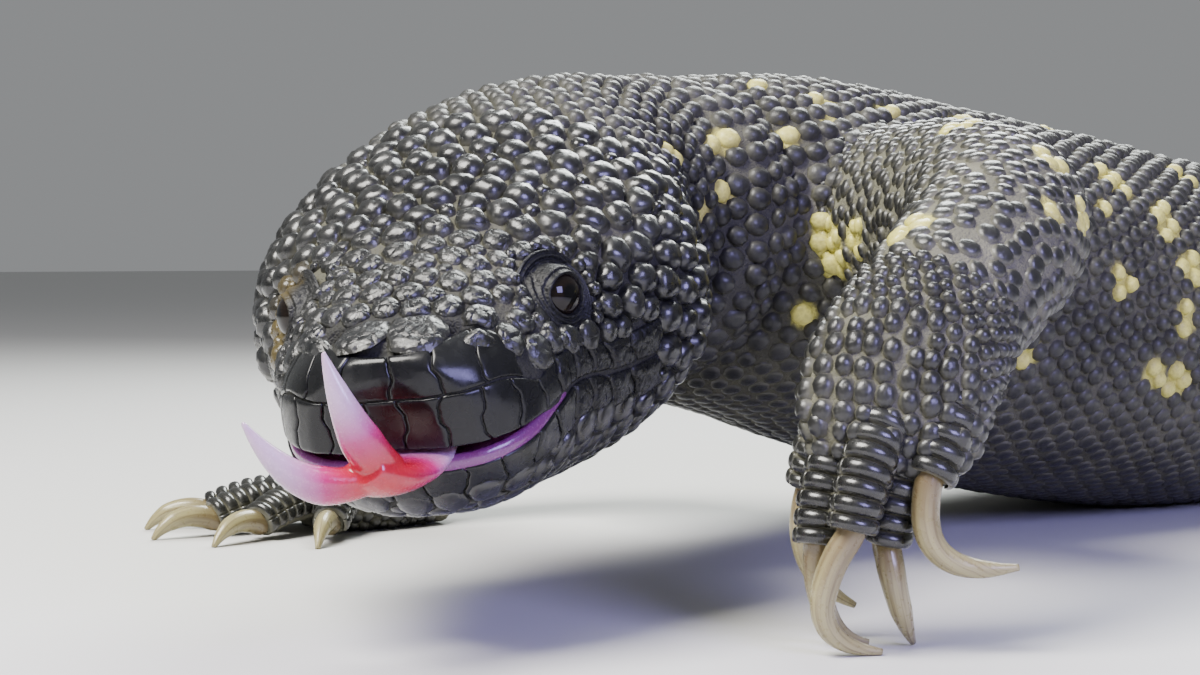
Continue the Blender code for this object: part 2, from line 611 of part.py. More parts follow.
def taper_shape(points, sizes):
    """A shape table along points, with (half width, above, below) read from sizes by share of the length."""
    steps = np.linalg.norm(np.diff(points, axis=0), axis=1)
    run = np.concatenate([[0.0], np.cumsum(steps)])
    shares = np.linspace(0.0, 1.0, len(sizes))
    read = np.array([np.interp(run / run[-1], shares, column) for column in np.array(sizes, float).T]).T
    return np.column_stack([run, points, read])


def make_tongue(parts):
    """The flat body that leaves the lips and its two tines, one curled up and one out to the right."""
    body = TONGUE_BODY.copy()
    body[:, 1:4] = [from_head(*row[1:4]) for row in TONGUE_BODY]
    rings = tube_rings(body, spaced(0.0, body[-1, 0], TONGUE_STEP), 10, HEAD_LEFT)[0]
    pieces = [loft("tongue", rings, TONGUE_PINK, parts)]
    for first, bend, last in TONGUE_TINES:
        points = bend_points(from_head(*first), from_head(*bend), from_head(*last), 7)
        wide, thin = TINE_RADIUS, TINE_RADIUS * 0.75
        sizes = [(wide, thin, thin), (wide * 0.95, thin, thin), (1.5, 1.2, 1.2), (0.3, 0.3, 0.3)]
        shape = taper_shape(points, sizes)
        rings = tube_rings(shape, shape[:, 0], 8, HEAD_LEFT + HEAD_UP * 0.3)[0]
        pieces.append(loft("tine", rings, TONGUE_PINK, parts))
    return fuse("tongue", pieces, parts)


def digit_pieces(name, base, bend, tip, claw_bend, claw_tip, side, parts):
    """A digit whose rings swell in turn as its cross bands do, with its claw. Gives the claw's room too."""
    points = bend_points(base, bend, tip, 9)
    full = TOE_RADIUS
    shape = taper_shape(points, [(full,) * 3, (full * 0.98,) * 3, (full * 0.84,) * 3])
    rings = tube_rings(shape, spaced(0.0, shape[-1, 0], DIGIT_STEP), DIGIT_COUNT, side)[0]
    for row in range(1, len(rings) - 1, 2):
        middle = rings[row].mean(axis=0)
        rings[row] = middle + (rings[row] - middle) * BAND_SWELL
    digit = loft(name, rings, SKIN_BLACK, parts, on_floor=True)
    claw_points = bend_points(tip, claw_bend, claw_tip, 9)
    sunk = np.array(tip) - unit(np.array(tip) - points[-2]) * CLAW_SUNK
    claw_points = np.concatenate([[sunk], claw_points])
    claw = claw_tube(claw_points, 0.0, side)
    back = unit(claw_points[0] - claw_points[1]) * GAP
    room = claw_tube(np.concatenate([claw_points[:1] + back, claw_points[1:]]), GAP, side)
    loft("claw_" + name, claw, CLAW_HORN, parts, on_floor=True)
    return digit, room


def claw_tube(points, grow, side):
    """A claw's rings: thick for the first half, then down to a blunt point."""
    radius = CLAW_RADIUS
    shape = taper_shape(points, [
        (radius * 0.95, radius * 1.08, radius * 1.08), (radius * 0.92, radius * 1.05, radius * 1.05),
        (radius * 0.74, radius * 0.82, radius * 0.82), (0.4, 0.4, 0.4),
    ])
    return tube_rings(shape, spaced(0.0, shape[-1, 0], shape[-1, 0] / 6), CLAW_COUNT, side, grow)[0]


def fuse_foot(name, pieces, rooms, parts, cutters):
    """One foot from its palm and toes, with a socket for each claw."""
    foot = fuse(name, pieces, parts)
    for room in rooms:
        carve(foot, loft("claw_room", room, SKIN_BLACK, cutters))
    return foot


def make_hand_in_view(parts, cutters):
    """The left hand, which hangs from its wrist on the tips of its claws."""
    rooms = []
    keys = spaced(0.0, HAND_PALM[-1, 0], HAND_STEP)
    pieces = [loft("palm", tube_rings(HAND_PALM, keys, PALM_COUNT, HAND_SIDE)[0], SKIN_BLACK, parts)]
    for number, digit in enumerate(HAND_DIGITS, 1):
        toe, room = digit_pieces(f"hand_left_{number}", *digit, HAND_SIDE, parts)
        pieces.append(toe)
        rooms.append(room)
    palm = tube_rings(HAND_PALM, keys, PALM_COUNT, HAND_SIDE, GAP)[0]
    return fuse_foot("hand_left", pieces, rooms, parts, cutters), palm


def planted_palm(ankle, heading):
    """The sole's path from heel to knuckles, low over the floor."""
    rows = []
    for share, half, height in PALM_PROFILE:
        x, y, _ = np.array([*ankle, 0.0]) + ahead_of(heading) * share * PALM_LENGTH
        run, tall = (share - PALM_PROFILE[0][0]) * PALM_LENGTH, PALM_HALF_HEIGHT * height
        rows.append((run, x, y, tall - FLAT, PALM_HALF_WIDTH * half, tall, tall))
    return np.array(rows)


def ahead_of(heading):
    """The level direction of a heading, counted from -Y towards +X."""
    return np.array([math.sin(heading), -math.cos(heading), 0.0])


def planted_toe(ankle, heading, turn, length):
    """An arched toe on the floor and its claw: base, bend, tip, claw bend and claw tip."""
    ahead, up = ahead_of(turn), np.array([0.0, 0.0, 1.0])
    start = np.array([*ankle, 0.0]) + ahead_of(heading) * PALM_LENGTH * TOE_FAN_START
    reach = TOE_ROOT + length
    knuckle = start + ahead * KNUCKLE_AHEAD + up * KNUCKLE_UP
    arch = start + ahead * reach * ARCH_SHARE + up * ARCH_UP
    tip = start + ahead * reach + up * TOE_TIP_UP
    claw_bend, claw_tip = (tip + ahead * forth + up * rise for forth, rise in (CLAW_BEND, CLAW_POINT))
    return knuckle, arch, tip, claw_bend, claw_tip


def make_planted_foot(limb, parts, cutters):
    """A foot flat on the floor: heel and palm, five arched toes in a fan, and claws that reach the floor."""
    ankle, degrees, inner, lengths = PLANTED[limb]
    name = FOOT_NAMES[limb][2]
    heading = math.radians(degrees)
    palm_shape = planted_palm(ankle, heading)
    left = np.array([math.cos(heading), math.sin(heading), 0.0])
    keys = spaced(0.0, palm_shape[-1, 0], SOLE_STEP)
    rings = tube_rings(palm_shape, keys, PALM_COUNT, left)[0]
    pieces, rooms = [loft("palm", rings, SKIN_BLACK, parts, on_floor=True)], []
    for number, (fan, length) in enumerate(zip(TOE_FAN, lengths), 1):
        turn = heading - inner * math.radians(fan)
        across = (math.cos(turn), math.sin(turn), 0.0)
        digit = planted_toe(ankle, heading, turn, length)
        toe, room = digit_pieces(f"{name}_{number}", *digit, across, parts)
        pieces.append(toe)
        rooms.append(room)
    palm = tube_rings(palm_shape, keys, PALM_COUNT, left, GAP)[0]
    return fuse_foot(name, pieces, rooms, parts, cutters), palm


def make_limb(limb, torso_cutter, parts, cutters):
    """Upper limb, cut to the body's side, then the lower limb, cut to the top of the foot, and the foot."""
    shape, joint = LIMB_SHAPES[limb], LIMB_JOINTS[limb]
    upper_name, lower_name, foot_name = FOOT_NAMES[limb]
    side = (0.0, 1.0 if limb.endswith("left") else -1.0, LIMB_TILT)

    def bead_height(point, facing):
        return BEAD_LIMB * float(smooth_step(facing[2], -0.7, -0.3))

    for name, first, last, count in (
        (upper_name, 0.0, joint, UPPER_LIMB_COUNT),
        (lower_name, joint, shape[-1, 0], LOWER_LIMB_COUNT),
    ):
        rings, facings = tube_rings(shape, spaced(first, last, LIMB_STEP), count, side)
        if first > 0.0:
            rings[0] = rings[0] + unit(read_shape(shape, joint)[1][:3]) * GAP
        raise_beads(rings, facings, bead_height, 2)
        limb_part = loft(name, rings, SKIN_BLACK, parts)
        if name == upper_name:
            carve(limb_part, torso_cutter)
    if limb == "fore_left":
        foot, palm = make_hand_in_view(parts, cutters)
    else:
        foot, palm = make_planted_foot(limb, parts, cutters)
    carve(limb_part, loft(foot_name + "_room", palm, SKIN_BLACK, cutters))


def main():
    clear_scene()
    parts, cutters = collection("beaded_lizard"), collection("cutters")
    make_head(parts, cutters)
    make_tongue(parts)
    body_part("neck", GAP, NECK_END, NECK_COUNT, NECK_STEP, parts)
    body_part("torso", NECK_END + GAP, TORSO_END, TORSO_COUNT, TORSO_STEP, parts)
    rings, facings = body_rings(spaced(NECK_END + GAP, TORSO_END, TORSO_STEP), TORSO_COUNT, GAP + 0.05)
    raise_beads(rings, facings, body_bead_height)
    torso_room = loft("torso_room", rings, SKIN_BLACK, cutters)
    for name, first, last, count, step in (
        ("tail_base", TORSO_END + GAP, TAIL_BASE_END, TAIL_COUNTS[0], TAIL_STEP),
        ("tail_middle", TAIL_BASE_END + GAP, TAIL_MIDDLE_END, TAIL_COUNTS[1], TAIL_STEP),
        ("tail_tip", TAIL_MIDDLE_END + GAP, TAIL_END, TAIL_COUNTS[2], TAIL_STEP),
    ):
        body_part(name, first, last, count, step, parts)
    for limb in LIMB_SHAPES:
        make_limb(limb, torso_room, parts, cutters)
    remove_all(list(cutters.objects))
    stand_at_origin(parts)


def stand_at_origin(parts):
    """Parents every piece to an empty that moves the middle of the animal's box to the origin."""
    root = bpy.data.objects.new("lizard_origin", None)
    parts.objects.link(root)
    root.location = (-BOX_MIDDLE[0] * MM, -BOX_MIDDLE[1] * MM, 0.0)
    for obj in parts.objects:
        if obj is not root:
            obj.parent = root


main()
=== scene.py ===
"""The looks of a life-size beaded lizard: one skin over its solids, with its beads, plates, lids, eyes, claws
and tongue. Shapes are worked out in millimetres from the shoulders and moved to where the solids stand."""

import math
from itertools import product

import bmesh
import bpy
import numpy as np
from bpy.props import FloatProperty, FloatVectorProperty, IntProperty, PointerProperty
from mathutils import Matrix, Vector
from mathutils.bvhtree import BVHTree
from mathutils.kdtree import KDTree


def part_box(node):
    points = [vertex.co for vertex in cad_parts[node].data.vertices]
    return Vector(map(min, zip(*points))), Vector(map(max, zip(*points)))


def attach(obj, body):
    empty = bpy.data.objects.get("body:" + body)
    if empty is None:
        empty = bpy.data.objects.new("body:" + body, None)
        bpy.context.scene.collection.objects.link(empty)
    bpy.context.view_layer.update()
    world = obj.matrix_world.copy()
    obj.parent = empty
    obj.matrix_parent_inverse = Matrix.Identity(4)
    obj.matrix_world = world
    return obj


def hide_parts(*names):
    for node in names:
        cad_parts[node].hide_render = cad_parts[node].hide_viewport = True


bl_info = {
    "name": "Beaded lizard",
    "version": (1, 0, 0),
    "blender": (4, 5, 0),
    "location": "3D View > Sidebar > Lizard",
    "description": "Builds the skin, beads, plates, eyes, claws and tongue of a beaded lizard",
    "category": "Object",
}

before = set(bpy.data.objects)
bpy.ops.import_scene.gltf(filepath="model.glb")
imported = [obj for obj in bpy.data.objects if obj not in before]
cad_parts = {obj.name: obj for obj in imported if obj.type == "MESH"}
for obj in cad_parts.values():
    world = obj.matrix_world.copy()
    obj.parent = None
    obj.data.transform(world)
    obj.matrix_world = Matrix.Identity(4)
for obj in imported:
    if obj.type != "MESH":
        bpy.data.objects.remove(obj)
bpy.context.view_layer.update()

MM = 0.001
FULL_TURN = 2 * math.pi

# The head, as in the solids
HEAD_LENGTH = 59.5
HEAD_YAW, HEAD_PITCH, HEAD_ROLL = math.radians(32.2), math.radians(22.0), math.radians(5.0)
NAPE = np.array([3.6, -58.7, 48.5])
EYE_RADIUS = 3.9
EYE_PLACE = (36.5, 14.9, 6.1)
EYE_FACING = (0.52, 0.82, 0.24)
NOSTRIL_PLACE = (51.6, 6.8, 9.2)
EAR_PLACE = (7.0, 27.6, -5.0)
GAP, MOUTH_OPEN, MOUTH_SHUT, MOUTH_CORNER = 0.3, 3.0, 43.0, 26.0
HEAD_SHAPE = np.array([
    (0.0, 25.5, 16.4, 21.0, 1.0),
    (6.0, 27.6, 15.9, 22.2, 3.0),
    (12.0, 28.8, 15.5, 23.3, 4.2),
    (18.0, 28.2, 15.0, 23.4, 4.6),
    (24.0, 26.0, 14.4, 22.6, 4.6),
    (30.0, 23.2, 13.6, 21.3, 4.4),
    (36.0, 20.4, 12.7, 19.6, 4.0),
    (42.0, 18.2, 11.8, 17.8, 3.4),
    (48.0, 16.4, 10.8, 16.0, 2.6),
    (52.0, 15.1, 10.1, 14.6, 2.0),
    (55.0, 13.5, 9.6, 13.4, 1.6),
    (57.0, 11.6, 9.1, 12.2, 1.2),
    (58.4, 9.2, 8.3, 10.6, 1.0),
    (59.2, 6.0, 6.6, 8.0, 1.0),
])
LIP_LINE = np.array([
    (26.0, -6.5), (29.0, -6.2), (32.0, -5.6), (35.0, -4.8), (38.0, -3.5), (41.0, -2.5), (44.0, -2.1),
    (50.0, -2.4), (60.0, -2.1), (75.0, -1.6),
])

# The body from nape to tail tip, as in the solids
BODY_SHAPE = np.array([
    (0.0, 3.6, -58.7, 48.5, 25.5, 16.4, 21.0),
    (20.0, -3.4, -41.5, 52.6, 23.8, 18.4, 22.6),
    (40.0, -2.6, -22.0, 51.0, 26.2, 21.4, 24.6),
    (62.0, 0.0, 0.0, 47.5, 30.5, 26.4, 26.0),
    (85.0, 0.5, 23.0, 43.4, 33.6, 29.4, 28.0),
    (110.0, 1.5, 48.0, 39.0, 36.6, 31.4, 30.0),
    (140.0, 3.0, 78.0, 35.0, 39.2, 32.5, 31.6),
    (170.0, 4.0, 108.0, 32.0, 40.6, 32.4, 32.5),
    (203.0, 4.5, 141.0, 30.5, 41.0, 31.4, 31.3),
    (235.0, 4.0, 173.0, 29.0, 39.4, 30.0, 29.8),
    (265.0, 2.5, 203.0, 26.5, 36.0, 27.5, 27.2),
    (290.0, 0.5, 228.0, 24.0, 32.0, 25.0, 24.6),
    (312.0, -1.5, 250.0, 21.5, 26.4, 22.4, 22.0),
    (330.0, -2.5, 268.0, 19.7, 21.8, 20.5, 20.2),
    (360.0, -2.0, 298.0, 18.0, 19.2, 18.5, 18.5),
    (400.0, 2.5, 337.0, 16.3, 17.6, 17.0, 16.8),
    (440.0, 12.0, 376.0, 14.8, 16.0, 15.2, 15.3),
    (480.0, 26.0, 413.0, 13.0, 14.2, 13.4, 13.5),
    (520.0, 42.0, 450.0, 10.8, 12.0, 11.2, 11.2),
    (560.0, 55.0, 488.0, 8.3, 9.2, 8.5, 8.7),
    (590.0, 60.0, 517.0, 6.1, 6.6, 6.1, 6.4),
    (612.0, 60.0, 539.0, 4.2, 4.4, 4.1, 4.4),
    (621.0, 59.3, 548.0, 2.9, 2.5, 2.4, 2.9),
])
NECK_END, TORSO_END, TAIL_END = 48.0, 312.0, 621.0
ROLL_END = 62.0  # where the head's roll has faded

# The limbs from inside the body to inside the foot, as in the solids
LIMB_SHAPES = {
    "fore_left": np.array([
        (0.0, 9.0, 4.0, 48.5, 15.0, 15.5, 15.5),
        (20.0, 28.0, 0.5, 50.0, 15.0, 15.0, 15.0),
        (38.0, 45.0, -8.0, 51.5, 14.0, 13.6, 13.6),
        (52.0, 56.0, -17.5, 50.5, 12.4, 12.0, 12.0),
        (65.0, 62.0, -29.0, 46.5, 11.4, 10.8, 10.8),
        (79.0, 64.8, -41.0, 41.2, 10.4, 9.6, 9.6),
        (83.5, 65.2, -44.6, 39.1, 10.2, 9.2, 9.2),
    ]),
    "fore_right": np.array([
        (0.0, -9.0, 5.0, 47.5, 15.0, 15.5, 15.5),
        (20.0, -28.0, 7.0, 47.0, 15.0, 15.0, 15.0),
        (38.0, -46.0, 13.0, 44.5, 13.8, 13.2, 13.2),
        (52.0, -58.5, 15.5, 38.0, 12.2, 11.6, 11.6),
        (66.0, -66.0, 9.0, 28.0, 11.2, 10.4, 10.4),
        (80.0, -69.5, -0.5, 18.0, 10.2, 9.0, 9.0),
        (92.0, -71.0, -9.0, 9.5, 9.2, 7.0, 7.0),
    ]),
    "hind_left": np.array([
        (0.0, 9.0, 229.0, 27.0, 16.5, 16.5, 16.5),
        (20.0, 28.0, 225.0, 29.5, 16.5, 16.0, 16.0),
        (40.0, 47.0, 216.0, 32.5, 15.6, 15.0, 15.0),
        (57.0, 62.0, 210.0, 32.0, 13.6, 13.0, 13.0),
        (72.0, 73.0, 214.0, 24.5, 11.8, 11.0, 11.0),
        (85.0, 79.5, 220.0, 15.5, 10.2, 9.2, 9.2),
        (95.0, 83.0, 224.0, 8.5, 9.0, 7.0, 7.0),
    ]),
    "hind_right": np.array([
        (0.0, -9.0, 228.0, 27.0, 16.5, 16.5, 16.5),
        (20.0, -27.5, 227.0, 29.0, 16.5, 16.0, 16.0),
        (40.0, -47.5, 225.0, 31.5, 15.6, 15.0, 15.0),
        (57.0, -63.0, 224.5, 29.5, 13.6, 13.0, 13.0),
        (72.0, -73.0, 231.0, 22.0, 11.8, 11.0, 11.0),
        (85.0, -79.0, 238.5, 14.0, 10.2, 9.2, 9.2),
        (95.0, -82.0, 243.0, 8.0, 9.0, 7.0, 7.0),
    ]),
}
FEET = {
    "fore_left": "hand_left",
    "fore_right": "hand_right",
    "hind_left": "foot_left",
    "hind_right": "foot_right",
}

# The hand that hangs in view, as in the solids
HAND_SIDE = (0.73, 0.68, 0.0)
HAND_PALM = np.array([
    (0.0, 65.2, -44.9, 38.9, 10.2, 9.2, 9.2),
    (5.0, 65.7, -48.6, 36.4, 10.6, 8.8, 8.6),
    (11.0, 66.3, -52.8, 33.2, 10.9, 7.8, 7.4),
    (17.0, 66.9, -56.2, 28.6, 10.8, 5.9, 5.9),
    (22.0, 67.0, -58.0, 24.2, 9.6, 4.4, 4.4),
    (25.0, 67.0, -58.8, 21.6, 7.0, 3.0, 3.0),
])
HAND_DIGITS = [  # base, bend, tip, claw bend, claw tip
    ((61.2, -55.0, 30.0), (57.0, -57.5, 25.5), (55.7, -57.6, 18.6), (53.6, -60.0, 8.0), (59.6, -53.6, 4.0)),
    ((63.6, -56.6, 29.0), (61.6, -62.5, 22.5), (61.8, -64.2, 12.6), (59.4, -62.0, 1.0), (64.0, -57.0, 0.4)),
    ((67.6, -56.2, 29.5), (68.5, -63.6, 24.5), (67.4, -65.2, 14.8), (61.6, -71.0, 1.6), (69.1, -61.5, 0.4)),
    ((69.4, -52.8, 29.5), (69.0, -57.5, 22.0), (66.6, -57.2, 12.9), (69.4, -59.0, 5.4), (67.9, -53.4, 0.4)),
    ((70.2, -49.6, 31.5), (74.4, -52.0, 30.4), (72.9, -57.4, 20.6), (71.6, -60.6, 8.6), (80.6, -50.4, 10.2)),
]
# The planted feet, as in the solids: ankle, heading, side of the inner toe and lengths of the toes
PLANTED = {
    "fore_right": ((-71.0, -10.0), -18.0, 1.0, (15.0, 18.5, 20.0, 18.5, 14.0)),
    "hind_left": ((83.5, 223.0), 52.0, -1.0, (14.0, 19.0, 22.5, 23.0, 16.0)),
    "hind_right": ((-82.5, 242.0), -58.0, 1.0, (14.0, 19.0, 22.5, 23.0, 16.0)),
}
PALM_LENGTH, PALM_HALF_WIDTH, PALM_HALF_HEIGHT = 22.0, 10.5, 5.2
PALM_PROFILE = (
    (-0.32, 0.55, 0.62), (-0.12, 0.78, 1.0), (0.2, 0.92, 1.02), (0.5, 1.0, 0.86), (0.68, 0.8, 0.62),
)
FLAT = 0.35
TOE_FAN = (-56.0, -27.0, -3.0, 21.0, 52.0)
TOE_RADIUS, CLAW_RADIUS, CLAW_SUNK = 3.1, 1.8, 1.2
TOE_TAPER = (1.0, 0.98, 0.84)
CLAW_TAPER, CLAW_POINT = ((0.95, 1.08), (0.92, 1.05), (0.74, 0.82)), 0.4
TOE_START, TIP_HEIGHT = 5.5, 2.8  # where a planted toe leaves the palm, and how high its tip lies

# The tongue along the head's axes, as in the solids
TONGUE_BODY = np.array([
    (0.0, 51.0, 1.8, -3.2, 4.0, 0.42, 0.42),
    (4.0, 55.0, 1.95, -3.35, 4.4, 0.62, 0.62),
    (7.5, 58.5, 2.0, -3.5, 4.5, 0.85, 0.85),
    (12.0, 63.0, 1.4, -3.1, 4.4, 1.6, 1.6),
    (16.5, 67.2, 0.2, -1.4, 3.9, 2.3, 2.0),
    (19.5, 69.4, -0.8, 0.6, 2.8, 1.9, 1.6),
])
TONGUE_TINES = (
    ((66.8, 0.9, -0.6), (70.8, -0.6, 5.0), (67.6, -2.9, 14.4)),
    ((67.0, -0.6, -0.9), (72.2, -7.2, -2.6), (69.4, -13.0, 7.6)),
)
TINE_RADIUS = 2.6
TONGUE_FORK = (67.0, 0.3, -0.8)
TONGUE_GRAIN = 0.25 * MM

# The view: the camera's place from the shoulders in millimetres, its heading, dip and lens
CAMERA_PLACE = np.array([222.8, -281.2, 46.3])
CAMERA_HEADING, CAMERA_DIP = math.radians(42.0), math.radians(2.0)
LENS, SENSOR, PICTURE = 69.0, 36.0, (1200, 675)

# Pale spots that the view shows: across and down the picture in pixels, and radius in millimetres
SPOTS_IN_VIEW = (
    (761, 89, 1.9), (823, 101, 1.9), (829, 120, 1.6), (888, 111, 2.2), (927, 106, 1.6), (723, 142, 2.2),
    (787, 139, 1.6), (668, 153, 1.7), (700, 82, 1.3), (830, 236, 2.6), (853, 236, 2.2), (838, 262, 2.7),
    (805, 315, 1.8), (1052, 132, 1.8), (1054, 163, 2.6), (1113, 181, 4.0), (1052, 210, 2.2), (1083, 227, 2.6),
    (1101, 205, 2.0), (1167, 224, 3.6), (1177, 175, 2.8), (1191, 269, 3.0), (1186, 319, 2.8),
    (1121, 279, 2.4), (1154, 374, 2.6), (1178, 381, 3.0), (726, 195, 1.5), (702, 210, 1.3),
)
# The other spots: choice, least space between them, least space to those in view, radii, and from and to
# along the body and along a limb, with the tries at each
SPOT_SEED, SPOT_SPACING, SHOWN_SPACING, SPOT_RADII = 11, 12.5, 18.0, (1.3, 3.1)
BODY_SPOTS, LIMB_SPOTS = (60.0, 600.0, 900), (24.0, 80.0, 110)


def unit(vectors):
    vectors = np.asarray(vectors, float)
    return vectors / np.linalg.norm(vectors, axis=-1, keepdims=True)


def smooth_step(value, low, high):
    """0 below low, 1 above high and a smooth rise between."""
    share = np.clip((value - low) / (high - low), 0.0, 1.0)
    return share * share * (3.0 - 2.0 * share)


def run_along(points):
    """How far each point of a line lies along it."""
    return np.concatenate([[0.0], np.cumsum(np.linalg.norm(np.diff(points, axis=0), axis=1))])


def above_floor(points):
    """Points with none below the floor."""
    return np.column_stack([points[:, :2], np.maximum(points[:, 2], 0.0)])


def head_axes():
    """The head's forward, left and up directions."""
    level = math.cos(HEAD_PITCH)
    forward = np.array([math.sin(HEAD_YAW) * level, -math.cos(HEAD_YAW) * level, -math.sin(HEAD_PITCH)])
    left = np.array([math.cos(HEAD_YAW), math.sin(HEAD_YAW), 0.0])
    left = left * math.cos(HEAD_ROLL) + np.cross(forward, left) * math.sin(HEAD_ROLL)
    return np.array([forward, left, np.cross(forward, left)])


HEAD_AXES = head_axes()
HEAD_FORWARD, HEAD_LEFT, HEAD_UP = HEAD_AXES


def from_head(places):
    """Places given along the head's axes, in the body's."""
    return NAPE + np.asarray(places, float) @ HEAD_AXES


def to_head(points):
    """Places in the body given along, beside and above the head's axis."""
    return (np.asarray(points, float) - NAPE) @ HEAD_AXES.T


def solids_shift():
    """How far the solids stand from the shoulders' origin, read from the left eye."""
    low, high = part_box("eye_left")
    return (np.array(low) + np.array(high)) / 2 / MM - from_head(EYE_PLACE)


SHIFT = solids_shift()


def read_curve(shape, keys, first_slope=None):
    """The smooth curve through a shape's rows at each key, and its slopes."""
    at, values = shape[:, 0], shape[:, 1:]
    slopes = np.gradient(values, at, axis=0)
    if first_slope is not None:
        slopes[0, :3] = first_slope
    keys = np.asarray(keys, float)
    row = np.clip(np.searchsorted(at, keys, side="right") - 1, 0, len(at) - 2)
    step = (at[row + 1] - at[row])[:, None]
    u = (keys - at[row])[:, None] / step
    near, far, leave, arrive = values[row], values[row + 1], slopes[row] * step, slopes[row + 1] * step
    value = (2 * u**3 - 3 * u**2 + 1) * near + (u**3 - 2 * u**2 + u) * leave
    value += (3 * u**2 - 2 * u**3) * far + (u**3 - u**2) * arrive
    slope = (6 * u**2 - 6 * u) * (near - far) + (3 * u**2 - 4 * u + 1) * leave + (3 * u**2 - 2 * u) * arrive
    return value, slope / step


class Tube:
    """A long form that can be read at any place along it and round it. frames gives each key's centre, left,
    up, half width, height above and depth below."""

    def __init__(self, name, frames, first, last, square=2.0, shear=None, swell=None):
        self.name, self.frames, self.first, self.last = name, frames, first, last
        self.square, self.shear, self.swell = square, shear, swell

    def at(self, keys, angles, grow=0.0):
        keys, angles = np.asarray(keys, float), np.asarray(angles, float)
        centre, left, up, half, top, bottom = self.frames(keys)
        across, above = np.cos(angles), np.sin(angles)
        power = 2.0 / self.square
        if self.swell is not None:
            grow = grow + self.swell(keys, angles)
        wide = np.sign(across) * np.abs(across) ** power * (half + grow)
        tall = np.sign(above) * np.abs(above) ** power * (np.where(above > 0, top, bottom) + grow)
        points = centre + left * wide[:, None] + up * tall[:, None]
        return points if self.shear is None else self.shear(points, keys)

    def facing(self, keys, angles):
        """The way that the surface faces, and the direction along the form."""
        small, turn = 0.2, 0.02
        along = self.at(keys + small, angles) - self.at(keys - small, angles)
        round_it = self.at(keys, angles + turn) - self.at(keys, angles - turn)
        facing = unit(np.cross(along, round_it))
        outward = self.at(keys, angles) - self.frames(keys)[0]
        facing *= np.sign(np.sum(facing * outward, axis=1))[:, None]
        return facing, unit(along)

    def mesh(self, step, around, grow=0.0, lead=0.0):
        """A closed mesh of the form: points and faces. lead adds a smaller ring that far before the first."""
        keys = np.linspace(self.first, self.last, max(4, int((self.last - self.first) / step)))
        angles = np.arange(around) * FULL_TURN / around
        rings = [self.at(np.full(around, key), angles, grow) for key in keys]
        if lead:
            middle = rings[0].mean(axis=0)
            away = unit(middle - rings[1].mean(axis=0))
            rings.insert(0, middle + away * lead + (rings[0] - middle) * 0.86)
        return closed_rings(rings)

    def bead_places(self, spacing, row_ratio, wide_ratio):
        """Rows of beads across the form, each turned half a bead from the last: keys, angles, half width and
        half length of each bead."""
        rows = []
        key, turned = self.first, 0
        samples = np.linspace(0.0, FULL_TURN, 121)
        while True:
            size = spacing(key) if callable(spacing) else spacing
            key += size * row_ratio * (0.5 if not rows else 1.0)
            if key > self.last:
                break
            ring = self.at(np.full(121, key), samples)
            run = run_along(ring)
            count = max(5, int(round(run[-1] / (size * wide_ratio))))
            places = (np.arange(count) + 0.5 * (turned % 2)) / count * run[-1]
            angles = np.interp(places, run, samples)
            sizes = np.broadcast_to((0.5 * run[-1] / count, 0.5 * size), (count, 2))
            rows.append(np.column_stack([np.full(count, key), angles, sizes]))
            turned += 1
        return np.concatenate(rows).T


def ring_surface(rings):
    """A band of quads through rings of equal count, open at its two edges."""
    count, faces = len(rings[0]), []
    for row in range(len(rings) - 1):
        near, far = row * count, (row + 1) * count
        faces += [(near + i, near + (i + 1) % count, far + (i + 1) % count, far + i) for i in range(count)]
    return np.concatenate(rings), faces


def closed_rings(rings):
    """Points and faces of a closed mesh through rings of equal count."""
    count = len(rings[0])
    points, faces = ring_surface(rings)
    points = np.concatenate([points, [rings[0].mean(axis=0), rings[-1].mean(axis=0)]])
    last = (len(rings) - 1) * count
    faces += [(len(points) - 2, (i + 1) % count, i) for i in range(count)]
    faces += [(len(points) - 1, last + i, last + (i + 1) % count) for i in range(count)]
    return points, faces


def path_frames(shape, side, backwards=False, first_slope=None):
    """A frames function for a form along a path. side points roughly left, or is a function of the keys."""
    def frames(keys):
        value, slope = read_curve(shape, keys, first_slope)
        forward = unit(slope[:, :3]) * (-1.0 if backwards else 1.0)
        left = side(keys, forward) if callable(side) else np.broadcast_to(side, forward.shape)
        left = unit(left - forward * np.sum(left * forward, axis=1)[:, None])
        return value[:, :3], left, np.cross(forward, left), value[:, 3], value[:, 4], value[:, 5]
    return frames


def body_side(keys, forward):
    """The body's left, rolled with the head at the nape and level from the shoulders on."""
    level = unit(np.cross((0.0, 0.0, 1.0), forward))
    share = 1.0 - smooth_step(keys, 0.0, ROLL_END)[:, None]
    return level * (1.0 - share) + HEAD_LEFT * share


NECK_FOLDS = ((14.0, 0.8, 2.0), (31.0, 1.5, 2.8), (45.0, 2.0, 3.2))  # along the body, depth and half width


def neck_folds(keys, angles):
    """How far the hide swells at each place: it creases behind the head, most on the sides."""
    lean = keys - 3.0 * np.cos(2.0 * angles)
    depth = sum(deep * np.exp(-(((lean - at) / half) ** 2)) for at, deep, half in NECK_FOLDS)
    return -depth * (0.2 + 0.8 * np.abs(np.cos(angles)))


def head_frames(keys):
    value = read_curve(HEAD_SHAPE, keys)[0]
    half, top, bottom, drop = value.T
    centre = NAPE + np.outer(keys, HEAD_FORWARD) - np.outer(drop, HEAD_UP)
    ones = np.ones(len(keys))
    return centre, np.outer(ones, HEAD_LEFT), np.outer(ones, HEAD_UP), half, top + drop, bottom - drop


